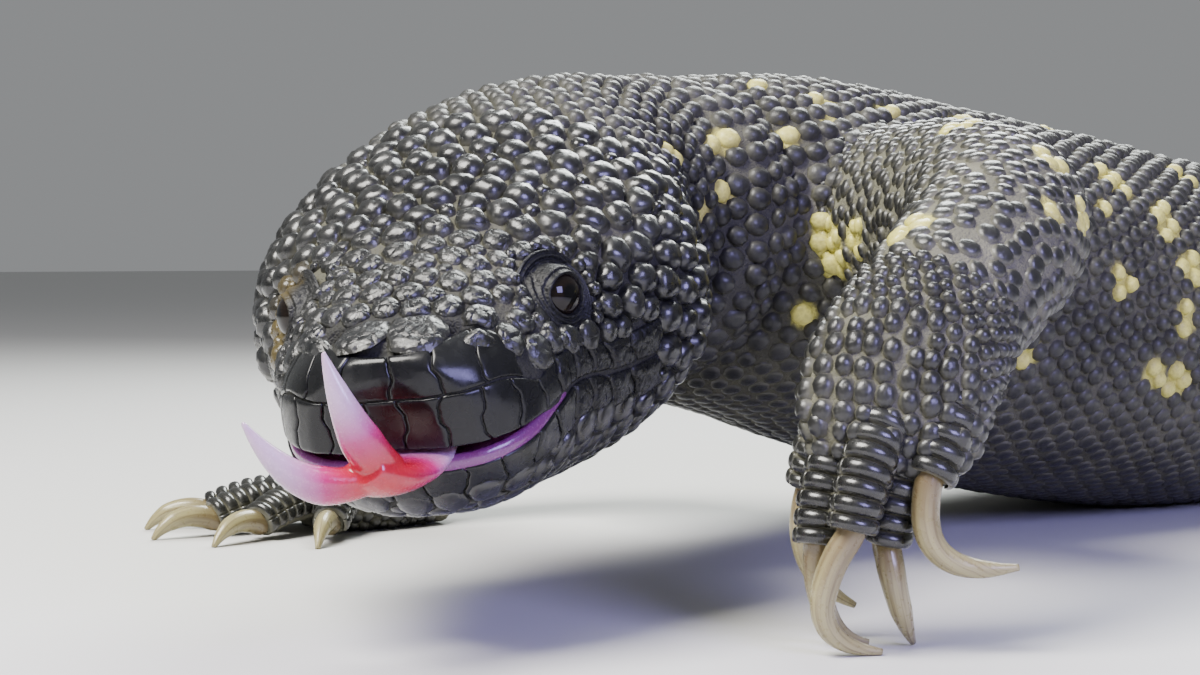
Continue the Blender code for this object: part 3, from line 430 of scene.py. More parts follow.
def head_shear(points, keys):
    """Sets the chin back from the upper lip and raises a brow over each eye."""
    above = to_head(points)[:, 2]
    back = 2.6 * smooth_step(-above, 3.0, 12.0) * smooth_step(keys, 46.0, 58.0)
    brow = 0.9 * np.exp(-(((keys - EYE_PLACE[0]) / 6.0) ** 2 + ((above - 9.5) / 2.6) ** 2))
    outward = np.sign(to_head(points)[:, 1])
    return points - np.outer(back, HEAD_FORWARD) + np.outer(brow * outward, HEAD_LEFT)


def bend_points(first, bend, last, count):
    """A curve that leaves first, is drawn towards bend and ends at last."""
    first, bend, last = (np.array(point, float) for point in (first, bend, last))
    share = np.linspace(0.0, 1.0, count)[:, None]
    return (1 - share) ** 2 * first + 2 * share * (1 - share) * bend + share**2 * last


def taper_shape(points, sizes):
    """A shape table along points, with (half width, above, below) read from sizes by share of the length."""
    run = run_along(points)
    shares = np.linspace(0.0, 1.0, len(sizes))
    read = np.array([np.interp(run / run[-1], shares, column) for column in np.array(sizes, float).T]).T
    return np.column_stack([run, points, read])


def toe_tube(name, base, bend, tip, side):
    sizes = [(TOE_RADIUS * share,) * 3 for share in TOE_TAPER]
    shape = taper_shape(bend_points(base, bend, tip, 9), sizes)
    return Tube(name, path_frames(shape, side), 0.0, shape[-1, 0])


def claw_tube(name, tip, claw_bend, claw_tip, before, side):
    """A claw from just inside its toe to its blunt point."""
    points = bend_points(tip, claw_bend, claw_tip, 9)
    sunk = np.array(tip) - unit(np.array(tip) - before) * CLAW_SUNK
    sizes = [(CLAW_RADIUS * half, CLAW_RADIUS * tall, CLAW_RADIUS * tall) for half, tall in CLAW_TAPER]
    shape = taper_shape(np.concatenate([[sunk], points]), [*sizes, (CLAW_POINT,) * 3])
    return Tube(name, path_frames(shape, side), 0.0, shape[-1, 0])


def foot_tubes(limb):
    """The palm, toes and claws of one foot, as in the solids."""
    name = FEET[limb]
    toes, claws = [], []
    if limb == "fore_left":
        palm = Tube(name + "_palm", path_frames(HAND_PALM, HAND_SIDE), 0.0, HAND_PALM[-1, 0])
        rows = [(*digit, HAND_SIDE) for digit in HAND_DIGITS]
    else:
        ankle, degrees, inner, lengths = PLANTED[limb]
        heading = math.radians(degrees)
        ahead = np.array([math.sin(heading), -math.cos(heading)])
        profile = []
        for share, half, height in PALM_PROFILE:
            run, tall = (share - PALM_PROFILE[0][0]) * PALM_LENGTH, PALM_HALF_HEIGHT * height
            at = np.array(ankle) + ahead * share * PALM_LENGTH
            profile.append((run, *at, tall - FLAT, PALM_HALF_WIDTH * half, tall, tall))
        profile = np.array(profile)
        across = (math.cos(heading), math.sin(heading), 0.0)
        palm = Tube(name + "_palm", path_frames(profile, across), 0.0, profile[-1, 0])
        start = np.array([*(np.array(ankle) + ahead * PALM_LENGTH * 0.3), 0.0])
        turns = [heading - inner * math.radians(fan) for fan in TOE_FAN]
        rows = [planted_toe(start, turn, length) for turn, length in zip(turns, lengths)]
    for number, (base, bend, tip, claw_bend, claw_tip, side) in enumerate(rows, 1):
        toes.append(toe_tube(f"{name}_{number}", base, bend, tip, side))
        before = bend_points(base, bend, tip, 9)[-2]
        claws.append(claw_tube(f"claw_{name}_{number}", tip, claw_bend, claw_tip, before, side))
    return palm, toes, claws


def planted_toe(start, turn, length):
    """One arched toe on the floor: base, bend, tip, claw bend, claw tip and side."""
    ahead = np.array([math.sin(turn), -math.cos(turn), 0.0])
    up = np.array([0.0, 0.0, 1.0])
    reach = TOE_START + length
    tip = start + ahead * reach + up * TIP_HEIGHT
    knuckle, arch = start + ahead * 4.0 + up * 4.3, start + ahead * reach * 0.6 + up * 7.0
    side = np.array([math.cos(turn), math.sin(turn), 0.0])
    return knuckle, arch, tip, tip + ahead * 7.0 + up * 2.4, tip + ahead * 11.0 - up * 2.75, side


HEAD = Tube("head", head_frames, 0.0, 59.2, 2.3, head_shear)
BODY_PATH = path_frames(BODY_SHAPE, body_side, True, -HEAD_FORWARD)
BODY = Tube("body", BODY_PATH, 0.0, TAIL_END, 2.15, None, neck_folds)
LIMB_SIDES = {"left": (0.0, 1.0, 0.35), "right": (0.0, -1.0, 0.35)}
LIMBS = {
    limb: Tube(limb, path_frames(shape, LIMB_SIDES[limb.split("_")[1]]), 0.0, shape[-1, 0])
    for limb, shape in LIMB_SHAPES.items()
}
FOOT_PARTS = {limb: foot_tubes(limb) for limb in FEET}


def place(points):
    """Millimetres from the shoulders to metres in the scene."""
    return (np.asarray(points, float) + SHIFT) * MM


def mesh_from(name, points, faces):
    """A mesh from points in millimetres, all faces with as many corners as the first or of mixed kinds."""
    mesh = bpy.data.meshes.new(name)
    mesh.from_pydata(place(points).tolist(), [], faces)
    work = bmesh.new()
    work.from_mesh(mesh)
    bmesh.ops.recalc_face_normals(work, faces=work.faces)
    work.to_mesh(mesh)
    work.free()
    return mesh


def big_mesh(name, points, faces):
    """A mesh from point and triangle arrays, made quickly. points are in millimetres."""
    mesh = bpy.data.meshes.new(name)
    mesh.vertices.add(len(points))
    mesh.vertices.foreach_set("co", place(points).ravel())
    mesh.loops.add(faces.size)
    mesh.loops.foreach_set("vertex_index", faces.ravel().astype(np.int32))
    mesh.polygons.add(len(faces))
    mesh.polygons.foreach_set("loop_start", np.arange(0, faces.size, faces.shape[1], dtype=np.int32))
    mesh.update(calc_edges=True)
    mesh.validate()
    return mesh


def add_object(name, mesh, smooth=True):
    obj = bpy.data.objects.new(name, mesh)
    bpy.context.scene.collection.objects.link(obj)
    if smooth:
        mesh.polygons.foreach_set("use_smooth", np.ones(len(mesh.polygons), bool))
    return obj


def set_marks(mesh, **marks):
    """Writes the values that the paints read at each point, each mark an array or one number."""
    for name, values in marks.items():
        layer = mesh.attributes.new(name, "FLOAT", "POINT")
        values = np.broadcast_to(values, len(mesh.vertices))
        layer.data.foreach_set("value", np.array(values, np.float32))


def finish_piece(obj, paint, slot, *nodes):
    """Gives a piece its material and its place on the body, and hides the nodes that it stands for. slot is
    not used.
    """
    obj.data.materials.clear()
    obj.data.materials.append(paint)
    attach(obj, "root")
    if nodes:
        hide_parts(*nodes)


def apply_modifiers(obj):
    graph = bpy.context.evaluated_depsgraph_get()
    mesh = bpy.data.meshes.new_from_object(obj.evaluated_get(graph))
    obj.modifiers.clear()
    obj.data = mesh


def one_form(obj, grain, rounds):
    """Melts the parts of a mesh into one form and softens it."""
    remesh = obj.modifiers.new("one_form", "REMESH")
    remesh.mode, remesh.voxel_size, remesh.use_smooth_shade = "VOXEL", grain, True
    soften = obj.modifiers.new("soften", "SMOOTH")
    soften.factor, soften.iterations = 0.5, rounds
    apply_modifiers(obj)


def mesh_points(mesh):
    points = np.empty(len(mesh.vertices) * 3)
    mesh.vertices.foreach_get("co", points)
    return points.reshape(-1, 3) / MM - SHIFT


def mesh_normals(mesh):
    normals = np.empty(len(mesh.vertices) * 3)
    mesh.vertex_normals.foreach_get("vector", normals)
    return normals.reshape(-1, 3)


def mesh_tree(points, faces):
    return BVHTree.FromPolygons(np.asarray(points).tolist(), faces)


# Facts that one operator works out and the next ones use
made = {}


def lip_height(along):
    return np.interp(along, LIP_LINE[:, 0], LIP_LINE[:, 1])


def mouth_gap(along):
    return GAP + (MOUTH_OPEN - GAP) * np.clip((along - MOUTH_SHUT) / (HEAD_LENGTH - MOUTH_SHUT), 0.0, 1.0)


def mouth_cutter():
    """A wedge across the head between the lips."""
    alongs = np.linspace(75.0, MOUTH_CORNER, 20)
    outline = [(a, lip_height(a)) for a in alongs] + [(a, lip_height(a) - mouth_gap(a)) for a in alongs[::-1]]
    count = len(outline)
    points = [from_head((along, side, above)) for side in (-60.0, 60.0) for along, above in outline]
    faces = [tuple(range(count)), tuple(range(2 * count - 1, count - 1, -1))]
    faces += [(i, (i + 1) % count, (i + 1) % count + count, i + count) for i in range(count)]
    return add_object("mouth_cutter", mesh_from("mouth_cutter", points, faces))


def camera_rays(pixels):
    """The camera's place and a direction for each pixel of the picture."""
    level, dip = math.cos(CAMERA_DIP), math.sin(CAMERA_DIP)
    ahead = np.array([-math.sin(CAMERA_HEADING) * level, math.cos(CAMERA_HEADING) * level, -dip])
    right = np.array([math.cos(CAMERA_HEADING), math.sin(CAMERA_HEADING), 0.0])
    up = np.cross(right, ahead)
    scale = LENS / SENSOR * PICTURE[0]
    return [
        unit(ahead + right * (across - PICTURE[0] / 2) / scale + up * (PICTURE[1] / 2 - down) / scale)
        for across, down in pixels
    ]


def find_spots(tree):
    """The centres and radii of the pale spots: those in view, then seeded ones over the rest of the hide."""
    rng = np.random.default_rng(SPOT_SEED)
    centres, radii = [], []
    rays = camera_rays([spot[:2] for spot in SPOTS_IN_VIEW])
    for (_, _, radius), ray in zip(SPOTS_IN_VIEW, rays):
        hit = tree.ray_cast(Vector(CAMERA_PLACE), Vector(ray))[0]
        if hit is not None:
            centres.append(np.array(hit))
            radii.append(radius)
    shown = np.array(centres)
    tubes = [(BODY, *BODY_SPOTS), *[(tube, *LIMB_SPOTS) for tube in LIMBS.values()]]
    for tube, first, last, tries in tubes:
        keys, angles = rng.uniform(first, last, tries), rng.uniform(-0.5, math.pi + 0.5, tries)
        if tube is not BODY:
            angles = rng.uniform(0.0, FULL_TURN, tries)
        for point in tube.at(keys, angles):
            away = np.linalg.norm(np.array(centres) - point, axis=1).min()
            seen = np.linalg.norm(shown - point, axis=1).min() < SHOWN_SPACING
            if away > SPOT_SPACING * rng.uniform(0.85, 1.5) and not seen:
                centres.append(point)
                radii.append(rng.uniform(*SPOT_RADII))
    return np.array(centres), np.array(radii)


def nearest_spot(points):
    """Each point's distance to the nearest spot's edge, in millimetres, negative inside."""
    centres, radii = made["spots"]
    nearest = np.full(len(points), 1e9)
    for centre, radius in zip(centres, radii):
        nearest = np.minimum(nearest, np.linalg.norm(points - centre, axis=1) - radius)
    return nearest


def near_tube(points, tube, keys, near, far):
    """1 at the points within near of a tube's middle line, 0 beyond far."""
    centres = tube.frames(keys)[0]
    off = np.min(np.linalg.norm(points[:, None, :] - centres[None], axis=2), axis=1)
    return 1.0 - smooth_step(off, near, far)


def dusty(points):
    """How much dust the hide holds: most on the limbs, some on the crown and body, a little on the face."""
    along, _, above = to_head(points).T
    crown = 0.6 * smooth_step(above, 3.0, 9.0) * (1.0 - smooth_step(along, 40.0, 52.0))
    amount = np.maximum(0.1 + 0.5 * smooth_step(-along, -2.0, 30.0), crown)
    for limb, tube in LIMBS.items():
        amount = np.maximum(amount, near_tube(points, tube, np.linspace(18.0, tube.last, 12), 15.0, 21.0))
        palm, toes, _ = FOOT_PARTS[limb]
        for part in (palm, *toes):
            amount = np.maximum(amount, near_tube(points, part, np.linspace(0.0, part.last, 5), 8.0, 13.0))
    return amount


# Materials

def new_paint(name, **values):
    """A new material, its nodes and its shader, with the shader's inputs set by name."""
    material = bpy.data.materials.new(name)
    material.use_nodes = True
    tree = material.node_tree
    shader = tree.nodes["Principled BSDF"]
    for key, value in values.items():
        shader.inputs[key.replace("_", " ")].default_value = value
    return material, tree, shader


def add_node(tree, kind, **values):
    """A node with its inputs set by name or number, and its properties by name."""
    node = tree.nodes.new(kind)
    for key, value in values.items():
        if key.startswith("in_"):
            name = key[3:]
            node.inputs[int(name) if name.isdigit() else name.replace("_", " ")].default_value = value
        else:
            setattr(node, key, value)
    return node


def grain_group():
    """Hide grain: fine wrinkles over a coarser swell, as a height and a mask that varies slowly."""
    found = bpy.data.node_groups.get("hide_grain")
    if found:
        return found
    group = bpy.data.node_groups.new("hide_grain", "ShaderNodeTree")
    for name, value in (("Wrinkles per Metre", 1400.0), ("Fold Depth", 0.5)):
        socket = group.interface.new_socket(name, in_out="INPUT", socket_type="NodeSocketFloat")
        socket.default_value = value
    for name in ("Height", "Mottle"):
        group.interface.new_socket(name, in_out="OUTPUT", socket_type="NodeSocketFloat")
    start, end = group.nodes.new("NodeGroupInput"), group.nodes.new("NodeGroupOutput")
    coords = group.nodes.new("ShaderNodeTexCoord")
    fine = add_node(group, "ShaderNodeTexNoise", in_Detail=4.0, in_Roughness=0.6)
    folds = add_node(group, "ShaderNodeTexVoronoi", feature="DISTANCE_TO_EDGE")
    slow = add_node(group, "ShaderNodeTexNoise", in_Scale=90.0, in_Detail=3.0)
    times = add_node(group, "ShaderNodeMath", operation="MULTIPLY")
    total = add_node(group, "ShaderNodeMath", operation="ADD")
    link = group.links.new
    for texture in (fine, folds, slow):
        link(coords.outputs["Object"], texture.inputs["Vector"])
    for texture in (fine, folds):
        link(start.outputs[0], texture.inputs["Scale"])
    link(folds.outputs["Distance"], times.inputs[0])
    link(start.outputs[1], times.inputs[1])
    link(fine.outputs[0], total.inputs[0])
    link(times.outputs[0], total.inputs[1])
    link(total.outputs[0], end.inputs["Height"])
    link(slow.outputs[0], end.inputs["Mottle"])
    return group


def grain_node(tree, wrinkles, folds):
    """The hide's grain with its wrinkles to a metre and the depth of its folds."""
    return add_node(tree, "ShaderNodeGroup", node_tree=grain_group(), in_0=wrinkles, in_1=folds)


def mix_colours(tree, factor, first, second):
    """A colour mix. Each side is a socket or a plain colour."""
    node = add_node(tree, "ShaderNodeMix", data_type="RGBA")
    for socket, value in ((node.inputs[0], factor), (node.inputs[6], first), (node.inputs[7], second)):
        if hasattr(value, "links") or hasattr(value, "is_linked"):
            tree.links.new(value, socket)
        else:
            socket.default_value = value if isinstance(value, float) else (*value, 1.0)
    return node.outputs[2]


def math_node(tree, operation, first, second):
    node = add_node(tree, "ShaderNodeMath", operation=operation)
    for socket, value in ((node.inputs[0], first), (node.inputs[1], second)):
        if isinstance(value, (int, float)):
            socket.default_value = value
        else:
            tree.links.new(value, socket)
    return node.outputs[0]


def map_range(tree, value, low, high, to_low, to_high):
    node = add_node(tree, "ShaderNodeMapRange", in_1=low, in_2=high, in_3=to_low, in_4=to_high)
    tree.links.new(value, node.inputs[0])
    return node.outputs[0]


def attribute(tree, name):
    return add_node(tree, "ShaderNodeAttribute", attribute_name=name).outputs["Fac"]


def hide_material(name, wrinkles, fold_depth, bump, rough, dust_reach, coat, specular):
    """Hide with pale spots where the spot attribute says, dust in its low places and flesh in the mouth."""
    p = looks()
    material, tree, shader = new_paint(
        name, Coat_Weight=coat, Coat_Roughness=0.12, Specular_IOR_Level=specular)
    grain = grain_node(tree, wrinkles, fold_depth)
    mottle, height = grain.outputs["Mottle"], grain.outputs["Height"]
    pale_share = map_range(tree, mottle, 0.35, 0.65, 0.0, 1.0)
    dark = mix_colours(tree, pale_share, p.hide_colour, p.hide_light_colour)
    patchy = map_range(tree, mottle, 0.3, 0.7, 0.5, 1.0)
    dust = math_node(tree, "MULTIPLY", attribute(tree, "dust"), patchy)
    low = map_range(tree, attribute(tree, "rise"), 0.0, dust_reach, 1.0, 0.06)
    dust = math_node(tree, "MULTIPLY", dust, low)
    colour = mix_colours(tree, dust, dark, p.dust_colour)
    # An olive-brown patch on the hide behind the right eye
    colour = mix_colours(tree, attribute(tree, "stain"), colour, p.stain_colour)
    pale = mix_colours(tree, map_range(tree, height, 0.4, 0.9, 0.0, 1.0), p.spot_colour, p.spot_shade_colour)
    colour = mix_colours(tree, attribute(tree, "spot"), colour, pale)
    colour = mix_colours(tree, attribute(tree, "lining"), colour, p.lining_colour)
    tree.links.new(colour, shader.inputs["Base Color"])
    dull = map_range(tree, height, 0.35, 0.85, *rough)
    dull = math_node(tree, "ADD", dull, math_node(tree, "MULTIPLY", dust, 0.4))
    tree.links.new(dull, shader.inputs["Roughness"])
    relief = math_node(tree, "MULTIPLY", height, attribute(tree, "wrinkle"))
    add_bump(tree, shader, relief, bump)
    return material


# The hide's paints: name, wrinkles to a metre, depth of folds, bump in metres, least and most roughness, how
# high dust reaches up a bead, coat and specular weight
HIDES = {
    "skin": ("skin_hide", 1700.0, 0.9, 0.0003, (0.55, 0.8), 1.0, 0.0, 0.3),
    "head": ("head_beads", 620.0, 1.3, 0.0005, (0.2, 0.42), 0.5, 0.35, 0.5),
    "body": ("body_beads", 1500.0, 0.8, 0.0004, (0.36, 0.58), 1.0, 0.1, 0.5),
    "limb": ("limb_beads", 1500.0, 0.8, 0.0004, (0.26, 0.46), 0.75, 0.2, 0.5),
    "plate": ("lip_plates", 560.0, 0.9, 0.0006, (0.17, 0.34), 0.5, 0.12, 0.24),
    "lid": ("eye_lids", 1500.0, 1.1, 0.0004, (0.42, 0.62), 1.0, 0.05, 0.3),
    "band": ("toe_bands", 900.0, 0.8, 0.0003, (0.18, 0.36), 0.55, 0.35, 0.5),
}


def add_bump(tree, shader, height, distance):
    bump = add_node(tree, "ShaderNodeBump", in_Strength=0.8, in_Distance=distance)
    tree.links.new(height, bump.inputs["Height"])
    tree.links.new(bump.outputs[0], shader.inputs["Normal"])


class LizardLooks(bpy.types.PropertyGroup):
    """Sizes and colours of the lizard's looks."""

    skin_grain: FloatProperty(
        name="Skin Grain", description="Size of the skin's facets", unit="LENGTH", min=0.4 * MM,
        default=0.8 * MM)
    head_bead: FloatProperty(
        name="Head Bead", description="Space between beads on the crown", default=4.2 * MM, unit="LENGTH")
    body_bead: FloatProperty(
        name="Body Bead", description="Space between beads on the back", default=3.5 * MM, unit="LENGTH")
    limb_bead: FloatProperty(
        name="Limb Bead", description="Space between beads on the limbs", default=2.7 * MM, unit="LENGTH")
    band_step: FloatProperty(
        name="Toe Band", description="Length of a cross band on a toe", default=2.0 * MM, unit="LENGTH")
    seed: IntProperty(name="Seed", description="Choice of small irregularities", default=5)
    hide_colour: FloatVectorProperty(
        name="Hide", description="Colour of the black hide", subtype="COLOR",
        default=(0.0035, 0.0037, 0.0043))
    hide_light_colour: FloatVectorProperty(
        name="Hide Light", description="Lighter mottle of the hide", subtype="COLOR",
        default=(0.010, 0.0106, 0.0112))
    dust_colour: FloatVectorProperty(
        name="Dust", description="Colour of dust between the beads", subtype="COLOR",
        default=(0.17, 0.165, 0.12))
    # Colour of an olive-brown patch on the hide behind the right eye
    stain_colour: FloatVectorProperty(
        name="Brown Patch", description="Colour of the olive-brown patch behind the right eye", subtype="COLOR",
        default=(0.075, 0.055, 0.014))
    spot_colour: FloatVectorProperty(
        name="Spots", description="Colour of the pale spots", subtype="COLOR", default=(0.64, 0.60, 0.15))
    spot_shade_colour: FloatVectorProperty(
        name="Spot Shade", description="Darker colour in the pale spots", subtype="COLOR",
        default=(0.47, 0.43, 0.10))
    lining_colour: FloatVectorProperty(
        name="Mouth Lining", description="Colour of the flesh between the lips", subtype="COLOR",
        default=(0.15, 0.02, 0.09))
    lip_flesh_colour: FloatVectorProperty(
        name="Inner Lip", description="Paler colour of the flesh inside the lower lip", subtype="COLOR",
        default=(0.15, 0.03, 0.19))
    claw_colour: FloatVectorProperty(
        name="Claws", description="Colour of the claws' horn", subtype="COLOR",
        default=(0.30, 0.265, 0.13))
    claw_root_colour: FloatVectorProperty(
        name="Claw Roots", description="Colour of the claws near the toes", subtype="COLOR",
        default=(0.14, 0.10, 0.05))
    tongue_colour: FloatVectorProperty(
        name="Tongue", description="Colour of the tongue's root", subtype="COLOR",
        default=(0.40, 0.002, 0.014))
    tongue_middle_colour: FloatVectorProperty(
        name="Tongue Middle", description="Colour between root and tips", subtype="COLOR",
        default=(0.38, 0.018, 0.16))
    tongue_tip_colour: FloatVectorProperty(
        name="Tongue Tips", description="Colour of the tongue's tips", subtype="COLOR",
        default=(0.45, 0.30, 0.47))
    eye_colour: FloatVectorProperty(
        name="Eyes", description="Colour of the pupils", subtype="COLOR", default=(0.0015, 0.0015, 0.002))
    iris_colour: FloatVectorProperty(
        name="Iris", description="Colour of the iris", subtype="COLOR", default=(0.003, 0.0022, 0.002))
    iris_streak_colour: FloatVectorProperty(
        name="Iris Streaks", description="Lighter streaks in the iris", subtype="COLOR",
        default=(0.011, 0.007, 0.005))
    floor_colour: FloatVectorProperty(
        name="Floor", description="Colour of the floor", subtype="COLOR", default=(0.60, 0.60, 0.59))


def looks():
    return bpy.context.scene.lizard_looks


def paints():
    """The hide's materials, made once."""
    if "paints" not in made:
        made["paints"] = {label: hide_material(*row) for label, row in HIDES.items()}
    return made["paints"]


def join_meshes(parts):
    """Points and faces of several closed meshes as one."""
    points, faces, base = [], [], 0
    for part_points, part_faces in parts:
        points.append(part_points)
        faces += [tuple(i + base for i in face) for face in part_faces]
        base += len(part_points)
    return np.concatenate(points), faces


def build_head_mesh():
    """The head's closed form, parted between the lips."""
    head = add_object("head_form", mesh_from("head_form", *HEAD.mesh(1.2, 112)))
    cutter = mouth_cutter()
    modifier = head.modifiers.new("mouth", "BOOLEAN")
    modifier.operation, modifier.solver, modifier.object = "DIFFERENCE", "EXACT", cutter
    apply_modifiers(head)
    bpy.data.objects.remove(cutter)
    points = mesh_points(head.data)
    faces = [tuple(polygon.vertices) for polygon in head.data.polygons]
    bpy.data.objects.remove(head)
    return points, faces


def eye_frame(side):
    """An eye's centre and the way it faces."""
    along, beside, above = EYE_PLACE
    forward, outward, upward = EYE_FACING
    centre = from_head((along, side * beside, above))
    return centre, unit(HEAD_FORWARD * forward + HEAD_LEFT * side * outward + HEAD_UP * upward)


SOCKET_RADIUS, SOCKET_RIM, SOCKET_DEPTH = 4.4, 3.0, 2.6
SOCKET_SPAN = (-4.0, 8.0)  # how far behind and before the eyeball's middle the skin is pressed in


def sink_eyes(points):
    """Presses the skin in behind each eyeball."""
    for side in (1.0, -1.0):
        centre, out = eye_frame(side)
        offset = points - centre
        height = offset @ out
        away = np.linalg.norm(offset - np.outer(height, out), axis=1)
        inside = (away < SOCKET_RADIUS) & (height > SOCKET_SPAN[0]) & (height < SOCKET_SPAN[1])
        depth = (height + SOCKET_DEPTH) * (1.0 - smooth_step(away, SOCKET_RIM, SOCKET_RADIUS))
        depth = np.where(inside, depth, 0.0)
        points = points - np.outer(np.maximum(depth, 0.0), out)
    return points


# Nostrils and ears: place, half length, half height and depth
HOLES = ((NOSTRIL_PLACE, 1.5, 1.25, 2.4), (EAR_PLACE, 1.3, 3.4, 1.5))
NOSE_GROOVE_DEPTH, NOSE_GROOVE_HALF = 0.9, 0.9


def sink_holes(points, normals):
    """Presses in the nostrils, the narrow ear openings and the groove that runs between the nostrils."""
    along, _, above = to_head(points).T
    for place_at, wide, tall, deep in HOLES:
        for side in (1.0, -1.0):
            offset = to_head(points) - (place_at[0], side * place_at[1], place_at[2])
            off = np.sqrt((offset[:, 0] / wide) ** 2 + (offset[:, 2] / tall) ** 2 + (offset[:, 1] / 4.0) ** 2)
            points = points - normals * (deep * (1.0 - smooth_step(off, 0.45, 1.1)))[:, None]
    off = np.abs(above - lip_height(along) - plate_height(along) - 0.3)
    depth = NOSE_GROOVE_DEPTH * (1.0 - smooth_step(off, 0.2, NOSE_GROOVE_HALF))
    return points - normals * (depth * smooth_step(along, 50.0, 53.0))[:, None]


class OBJECT_OT_lizard_skin(bpy.types.Operator):
    """Builds the one skin under the beads, with its mouth, eye sockets, nostrils and ears"""

    bl_idname = "object.lizard_skin"
    bl_label = "Skin"

    def execute(self, context):
        parts = [build_head_mesh(), BODY.mesh(2.2, 112, 0.0, 7.0)]
        for limb, tube in LIMBS.items():
            parts.append(tube.mesh(2.0, 56))
            palm, toes, _ = FOOT_PARTS[limb]
            parts.append(palm.mesh(1.5, 48, 0.0, 3.0))
            parts += [toe.mesh(1.2, 28) for toe in toes]
        points, faces = join_meshes(parts)
        skin = add_object("skin", mesh_from("skin", above_floor(points), faces))
        one_form(skin, looks().skin_grain, 3)
        mesh = skin.data
        points = above_floor(sink_holes(sink_eyes(mesh_points(mesh)), mesh_normals(mesh)))
        mesh.vertices.foreach_set("co", place(points).ravel())
        mesh.update()
        made["skin_tree"] = mesh_tree(points, [tuple(polygon.vertices) for polygon in mesh.polygons])
        made["spots"] = find_spots(made["skin_tree"])
        self.mark(mesh, points)
        nodes = [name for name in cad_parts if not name.startswith(("claw", "eye", "tongue"))]
        finish_piece(skin, paints()["skin"], "hide", *nodes)
        return {"FINISHED"}

    def mark(self, mesh, points):
        """Writes the skin's spots, dust, height, olive-brown patch, wrinkles and mouth lining."""
        pale = 0.85 * (1.0 - smooth_step(nearest_spot(points), -0.3, 0.5))
        lining = mouth_lining(points, mesh_normals(mesh))
        set_marks(
            mesh, spot=pale, dust=dusty(points), rise=0.0, stain=stain(points), wrinkle=1.0, lining=lining)


def mouth_lining(points, normals):
    """Flesh on the faces that the lips hide when the mouth is shut."""
    along, side, above = to_head(points).T
    lip, gap, up = lip_height(along), mouth_gap(along), normals @ HEAD_UP
    inside = (above < lip + 0.8) & (above > lip - gap - 0.8) & (along > MOUTH_SHUT)
    inside &= (along < HEAD_LENGTH + 1.0) & (np.abs(side) < 22.0)
    return np.where(inside, smooth_step(np.abs(up), 0.55, 0.8), 0.0)


# The olive-brown patch behind the right eye: its middle along, beside and above the head's axis, its reach
# and its strength
BROWN_PATCH_PLACE, BROWN_PATCH_REACH, BROWN_PATCH_STRENGTH = (35.0, -18.0, 5.0), (6.0, 4.0, 7.0), 0.85


def stain(points):
    """How strongly the olive-brown patch behind the right eye colours each point."""
    near = np.linalg.norm((to_head(points) - BROWN_PATCH_PLACE) / BROWN_PATCH_REACH, axis=1)
    return BROWN_PATCH_STRENGTH * (1.0 - smooth_step(near, 0.7, 1.15))


def dome_template(corners, levels):
    """A bead's plan: each point's corner, share of the rim's reach and height, and the triangles between."""
    corner, share, height, faces = [], [], [], []
    for level, (reach, rise) in enumerate(levels):
        corner += list(range(corners))
        share += [reach] * corners
        height += [rise] * corners
        if level:
            low, high = (level - 1) * corners, level * corners
            for i in range(corners):
                after = (i + 1) % corners
                faces += [(low + i, low + after, high + after), (low + i, high + after, high + i)]
    top, last = len(corner), (len(levels) - 1) * corners
    faces += [(last + i, last + (i + 1) % corners, top) for i in range(corners)]
    return np.array(corner + [0]), np.array(share + [0.0]), np.array(height + [1.0]), np.array(faces)


HEAD_DOME = dome_template(12, ((1.0, -0.35), (0.97, 0.16), (0.85, 0.58), (0.6, 0.87), (0.3, 0.975)))
BODY_DOME = dome_template(9, ((1.0, -0.35), (0.93, 0.32), (0.7, 0.76), (0.36, 0.95)))
PATCH_REACH = 0.0014  # half of a bead's patch on the hide's flat plan


def oval_reach(width, length, corners):
    """How far oval beads reach in each direction."""
    turns = np.arange(corners) * FULL_TURN / corners
    across, along = np.cos(turns)[None] / width[:, None], np.sin(turns)[None] / length[:, None]
    return 1.0 / np.sqrt(across**2 + along**2)


def bead_mesh(name, template, roots, axes, reach, rises, maps, rng):
    """One mesh of many beads. axes are each bead's across, along and out; reach how far its rim lies in each
    direction; maps its place on the hide's flat plan."""
    corner, share, height, triangles = template
    count, each, corners = len(roots), len(corner), reach.shape[1]
    turns = corner * FULL_TURN / corners
    wobble = rng.uniform(0.94, 1.06, (count, each))
    flat = reach[:, corner] * share * wobble
    local = np.stack([flat * np.cos(turns), flat * np.sin(turns), rises[:, None] * height * wobble], axis=2)
    points = above_floor((roots[:, None, :] + np.einsum("nki,nij->nkj", local, axes)).reshape(-1, 3))
    faces = (triangles[None] + np.arange(count)[:, None, None] * each).reshape(-1, 3)
    mesh = big_mesh(name, points, faces)
    plan = share[:, None] * np.column_stack([np.cos(turns), np.sin(turns)]) * PATCH_REACH
    plan = (maps[:, None, :] + plan[None]).reshape(-1, 2)
    layer = mesh.uv_layers.new(name="OFBake")
    layer.data.foreach_set("uv", plan[faces.ravel()].ravel())
    mark_hide(mesh, roots, each, np.tile(np.clip(height, 0.0, 1.0), count), rng)
    return mesh


def mark_hide(mesh, roots, each, rise, rng):
    """Writes the beads' height, and their spots, dust, olive-brown patch and wrinkles, each bead with one
    value.
    """
    pale = nearest_spot(roots) < rng.uniform(-0.3, 0.6, len(roots))
    marks = {"spot": pale, "dust": dusty(roots), "stain": stain(roots), "wrinkle": wrinkled(roots)}
    set_marks(mesh, rise=rise, **{name: np.repeat(values, each) for name, values in marks.items()})


def wrinkled(points):
    """How wrinkled the horn is: most on the snout's broad flat beads."""
    along, _, above = to_head(points).T
    return 0.15 + 0.85 * smooth_step(along, 26.0, 38.0) * smooth_step(above, -2.0, 5.0)


